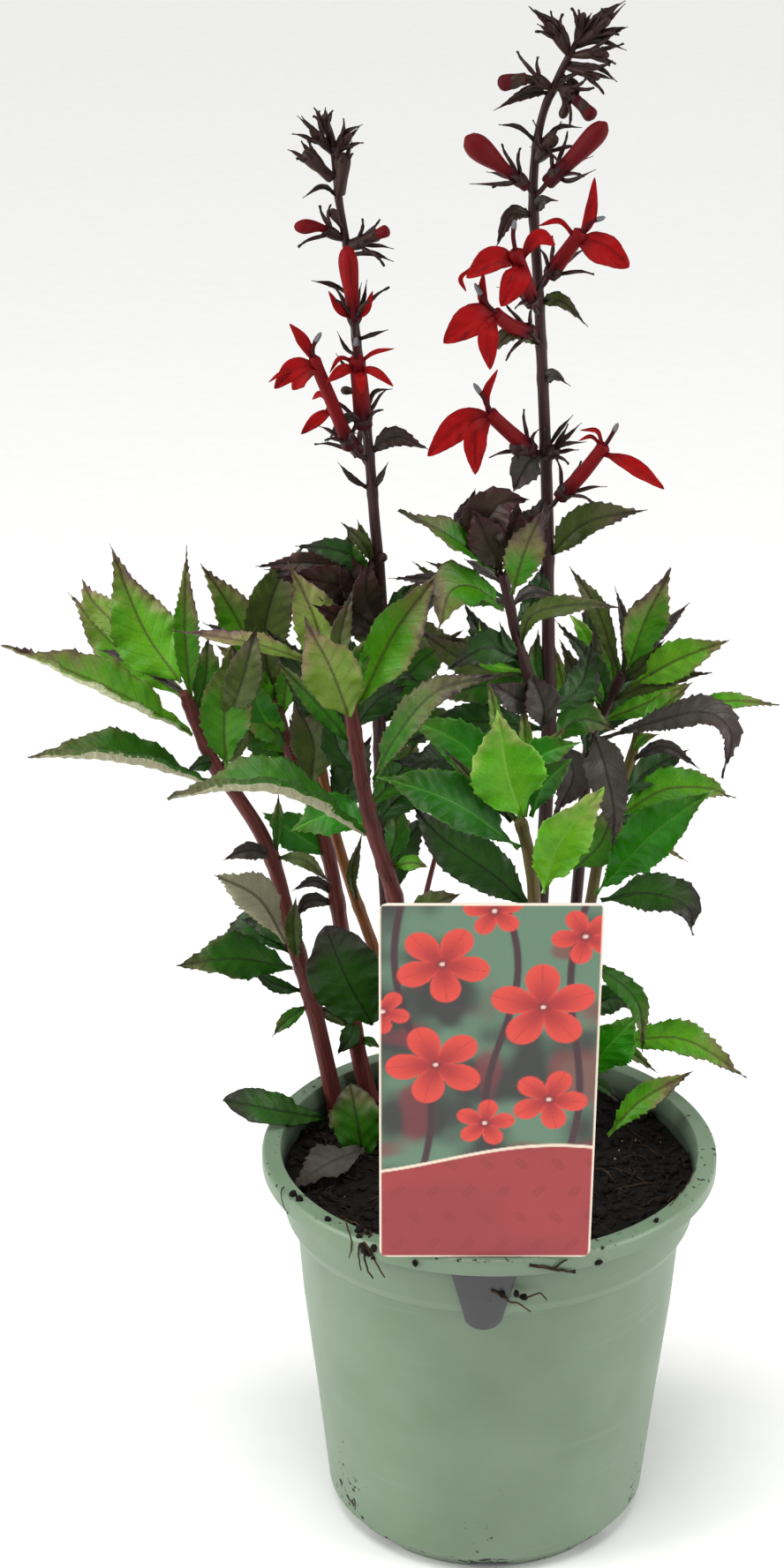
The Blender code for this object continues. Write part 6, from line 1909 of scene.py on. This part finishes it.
FLOWERS: dict[str, Sequence[Part]] = {
    "flower_left_side_view": (Flower(2.1, ((-54, 449, 12), (-59, 463, 6), (-67, 483, 0)), (
        Petal(4.5, ((-66, 480, 0), (-70, 488, -1), (-75, 495, -3))),
        Petal(7.5, ((-65.5, 479, 0), (-73, 479, -3), (-81, 471, -6))),
        Petal(6, ((-65.5, 478, 0), (-71, 475, 4), (-74.5, 470.5, 6))),
        Petal(1.6, ((-72, 478, -3), (-78, 477, -5), (-83, 473.5, -7)))),
        ((-66, 480, 0), (-67, 486, -1), (-64, 492, -2))),),
    "flower_left_low": (Flower(2, ((-50, 446, 30), (-56, 456, 34), (-61, 465, 36)), (
        Petal(5, ((-60, 463, 36), (-65, 460, 33), (-71.5, 454, 30))),
        Petal(2.6, ((-60, 464, 36), (-64, 469, 37), (-67.5, 467, 38))))),),
    "flower_left_front": (Flower(2.7, ((-49, 457, 13), (-50, 470, 9), (-51.3, 483, 6)), (
        Petal(1.8, ((-51, 480, 7), (-45, 484.5, 4), (-38, 486, 2))),
        Petal(1.8, ((-51, 480, 7), (-57, 482.5, 4), (-61, 477, 2))),
        Petal(4.5, ((-51, 478, 7), (-56, 478, 1), (-62, 473.5, -2))),
        Petal(3.6, ((-51, 478, 7), (-45, 477.5, 2), (-38, 472, 0))),
        Petal(4.5, ((-51, 478, 7), (-50, 475, -2), (-49.5, 469, -4)))),
        ((-51, 479, 6), (-51.6, 485, 4), (-51.3, 490, 2))),),
    "flower_left_closed": (Calyx(2.8, ((-52.2, 494, 13), (-51.9, 499, 12)), 5, 12, 0.6),
        Bud(3.7, ((-51.8, 497, 12), (-53.2, 509, 9), (-54.6, 523.5, 8)), foot=0.72, deep=0.3),
        Petal(3, ((-52, 497, 12), (-57, 500, 8), (-61, 507, 7))),
        Petal(3, ((-52, 497, 12), (-48, 500, 8), (-45.5, 507, 7)))),
    "flower_right_side_view": (Flower(2.4, ((18, 513, 3), (22, 519, 0), (29, 529, -4)), (
        Petal(4.6, ((28, 526, -4), (31.5, 534, -5), (33, 548, -6))),
        Petal(12, ((27, 525, -4), (35, 523, -7), (46, 516, -10))),
        Petal(2.2, ((27, 526, -4), (21, 532.5, -2), (13.5, 531, -1)))),
        ((28, 527, -4), (32, 532, -5), (37, 534, -6))),),
    "flower_right_front": (Flower(2.4, ((11.5, 503, 2), (9, 511, -6), (5, 522, -12)), (
        Petal(9, ((7, 517, -10), (-2, 519, -14), (-12, 512, -16))),
        Petal(10, ((7, 517, -10), (6, 512, -18), (0.5, 501.5, -20))),
        Petal(6, ((7, 518, -10), (13, 526.5, -12), (19.5, 524, -14))),
        Petal(1.8, ((-9, 516, -15), (-14, 512, -15), (-12, 507, -14)))),
        ((6, 519, -11), (4.5, 527, -13), (5, 533, -13))),),
    "flower_right_middle": (Flower(2.3, ((11.5, 492, 2), (5, 494, -6), (-2, 499, -12)), (
        Petal(3.6, ((-1, 498, -12), (-6, 504, -13), (-6, 514, -14))),
        Petal(11.5, ((-1, 498, -12), (-9, 497, -17), (-20, 488, -20))),
        Petal(7.5, ((-1, 498, -12), (-4, 491, -20), (-3, 478, -21)))),
        ((-1, 499, -12), (-5, 503, -14), (-9, 510, -15))),),
    "flower_right_spread": (Flower(2.5, ((12, 448, 8), (5, 454, 2), (-3.5, 462, -2)), (
        Petal(3.2, ((-3, 461, -2), (-4.5, 469, -3), (-0.5, 478, -4))),
        Petal(10.5, ((-2, 461, -2), (-13, 458, -6), (-25.5, 445.5, -10))),
        Petal(8.5, ((-2, 461, -2), (-8, 453, -9), (-8, 438.5, -10)))),
        ((-2, 461, -2), (-5, 467, -4), (-9, 473, -5))),
        Bud(3.6, ((13, 446, 9), (9.5, 448, 5), (5, 450.5, 3)), True)),
    "flower_right_low": (Flower(2.3, ((23, 430, 5), (31, 439, 0), (39, 450, -4)), (
        Petal(6, ((37.5, 447, -4), (49, 442, -7), (61, 433, -10))),
        Petal(1.8, ((38, 449, -4), (36, 455, -6), (30, 455.5, -8))),
        Petal(1.6, ((38, 449, -4), (34, 453, -5), (29.5, 451.5, -7)))),
        ((38, 448, -4), (41, 453, -5), (43.5, 458, -6))),),
    "bud_right_left_side": (Calyx(2.7, ((9.5, 545, 3.3), (5, 548.5, 1)), 5, 10, 0.6),
        Bud(4.7, ((9, 545, 2.6), (-1, 553, -2), (-12.5, 562.5, -6)), foot=0.46, deep=0.7),
        Blade(Kind.YOUNG, 1.9, ((7, 548, 2), (2, 546, -4), (-11, 546, -8)), teeth=0.0)),
    "bud_right_right_side": (Calyx(2.7, ((16.5, 546.5, 2), (20, 551, -1)), 5, 11, 0.6),
        Bud(4.0, ((16.5, 546.5, 1.4), (26, 556, -4), (36.5, 567.5, -9)), foot=0.72, deep=0.75),
        Blade(Kind.YOUNG, 1.8, ((19, 549, 1), (24, 547, -3), (33, 551, -8)), teeth=0.0)),
}

# The short stalks the flowers stand on, from the stem to the foot of the calyx.
FOOTSTALKS: dict[str, Sequence[Place]] = {
    "flower_left_side_view": ((-46.7, 444, 21.2), (-51, 446, 17), (-54, 450, 12)),
    "flower_left_low": ((-46.4, 441, 21.3), (-48, 443, 26), (-50, 447, 30)),
    "flower_left_front": ((-47.3, 452, 21), (-48, 454, 17), (-49, 458, 13)),
    "flower_left_closed": ((-51.3, 489, 20), (-51.8, 491, 16), (-52.1, 495, 13)),
    "flower_right_side_view": ((13.7, 508, 8.3), (16, 510, 5.5), (18.2, 514, 3)),
    "flower_right_front": ((14.3, 498, 9), (13, 500, 5.5), (11.4, 504, 2)),
    "flower_right_middle": ((15, 488, 9.7), (13, 489.5, 5.5), (11, 492.5, 2)),
    "flower_right_spread": ((17.5, 445, 12), (15, 446, 10), (12, 448.5, 8)),
    "flower_right_low": ((18.3, 426, 14), (20.5, 427, 9.5), (23.2, 431, 5)),
    "bud_right_left_side": ((11.5, 541, 8), (10.6, 543, 5.5), (9, 546, 3)),
    "bud_right_right_side": ((11.5, 541.5, 8), (14, 543.5, 5), (16.8, 547, 2)),
}


# The whole


@dataclass
class Studio:
    """The pale floor, the soft lights and the camera."""

    floor_size: float = 14.0
    pitch: float = 23.12
    air: float = 0.34
    ceiling: float = 2.0
    lamp_size: float = 0.9
    left: float = 17.0
    right: float = 14.0

    def build(self) -> None:
        """Sets the world, the floor, three soft lights and the camera."""
        self.lay_floor()
        self.hang_lights()
        self.set_camera()

    def lay_floor(self) -> None:
        """Sets the bright air all round and lays a large sheet of matt white paper."""
        scene = bpy.context.scene
        scene.view_settings.view_transform = "Standard"
        world = bpy.data.worlds.new("studio_air")
        world.use_nodes = True
        world.node_tree.nodes["Background"].inputs[0].default_value = (1.0, 1.0, 1.0, 1.0)
        world.node_tree.nodes["Background"].inputs[1].default_value = self.air
        scene.world = world
        half = 0.5 * self.floor_size
        mesh = bpy.data.meshes.new("studio_floor")
        mesh.from_pydata([(-half, -half, 0.0), (half, -half, 0.0), (half, half, 0.0),
                          (-half, half, 0.0)], [], [(0, 1, 2, 3)])
        s = Shader("matt_white_paper")
        grain = s.add("TexNoise", {"Vector": s.add("TexCoord")["Object"],
                                   "Scale": 60.0})["Fac"]
        tint = s.add("Mix", {0: grain, 6: linear("efefed"), 7: linear("f4f4f2")},
                     data_type="RGBA")[2]
        s.add("OutputMaterial", {0: s.add("BsdfPrincipled", {
            "Base Color": tint, "Roughness": 0.9})[0]})
        mesh.materials.append(s.material)
        floor = bpy.data.objects.new("studio_floor", mesh)
        scene.collection.objects.link(floor)

    def hang_lights(self) -> None:
        """Hangs a wide soft light overhead and a square one at either side."""
        sun = bpy.data.lights.new("ceiling", "SUN")
        sun.energy = self.ceiling
        sun.angle = math.radians(35.0)
        ceiling = bpy.data.objects.new("ceiling", sun)
        ceiling.rotation_euler = (math.radians(14.0), 0.0, math.radians(-20.0))
        bpy.context.scene.collection.objects.link(ceiling)
        self.lamp("left", (-1.3, -0.35, 0.8), self.lamp_size, self.left)
        self.lamp("right", (1.3, -0.3, 0.8), self.lamp_size, self.right)

    def set_camera(self) -> None:
        """Sets the camera at the eye, looking down along +Y."""
        scene = bpy.context.scene
        camera = bpy.data.cameras.new("camera")
        camera.lens = LENS_MM
        camera.sensor_width = SENSOR_MM
        camera.clip_start = 0.05
        eye = bpy.data.objects.new("camera", camera)
        eye.location = tuple((EYE * MM).tolist())
        eye.rotation_euler = (math.radians(90.0 - self.pitch), 0.0, 0.0)
        scene.collection.objects.link(eye)
        scene.camera = eye

    def lamp(self, name: str, spot: Place, size: float, power: float) -> None:
        """Adds one square soft light that faces the middle of the plant.

        Args:
            name: the light's name.
            spot: where it stands, in metres.
            size: its side, in metres.
            power: its strength in watts.
        """
        light = bpy.data.lights.new(name, "AREA")
        light.size = size
        light.energy = power
        thing = bpy.data.objects.new(name, light)
        toward = np.array(spot) - (0.0, 0.0, 0.3)
        flat = float(np.hypot(toward[0], toward[1]))
        thing.location = spot
        thing.rotation_euler = (math.atan2(flat, toward[2]), 0.0,
                                math.atan2(toward[1], toward[0]) + math.pi / 2)
        bpy.context.scene.collection.objects.link(thing)


def slot_of(node: str) -> str:
    """The material slot that the record gives a node."""
    slots = {row["node"]: row["material_slot"] for row in frame["record"]["subparts"]}
    return slots[node]


def main() -> None:
    """Builds the studio, the pot, the label and the plant, one piece after another."""
    logging.basicConfig(level=logging.INFO, format="%(name)s %(message)s")
    Studio().build()
    Pot().build()
    Compost().build()
    Label().build()
    for name, stem in STEMS.items():
        stem.build(name)
    for index, (name, blade) in enumerate(LEAVES.items()):
        skin = Skin()
        blade.grow(skin, 0.7 + 1.3 * index)
        skin.make(f"{name}_dressed", slot_of(name), name)
    for index, (name, parts) in enumerate(FLOWERS.items()):
        skin = Skin()
        Stalk("brown", 1.0, 0.9, FOOTSTALKS[name], 10, 0.0).grow(skin, 0.2 + index)
        for step, part in enumerate(parts):
            part.grow(skin, 0.4 + index + 0.3 * step)
        skin.make(f"{name}_dressed", "petal", name)


if __name__ == "__main__":
    main()
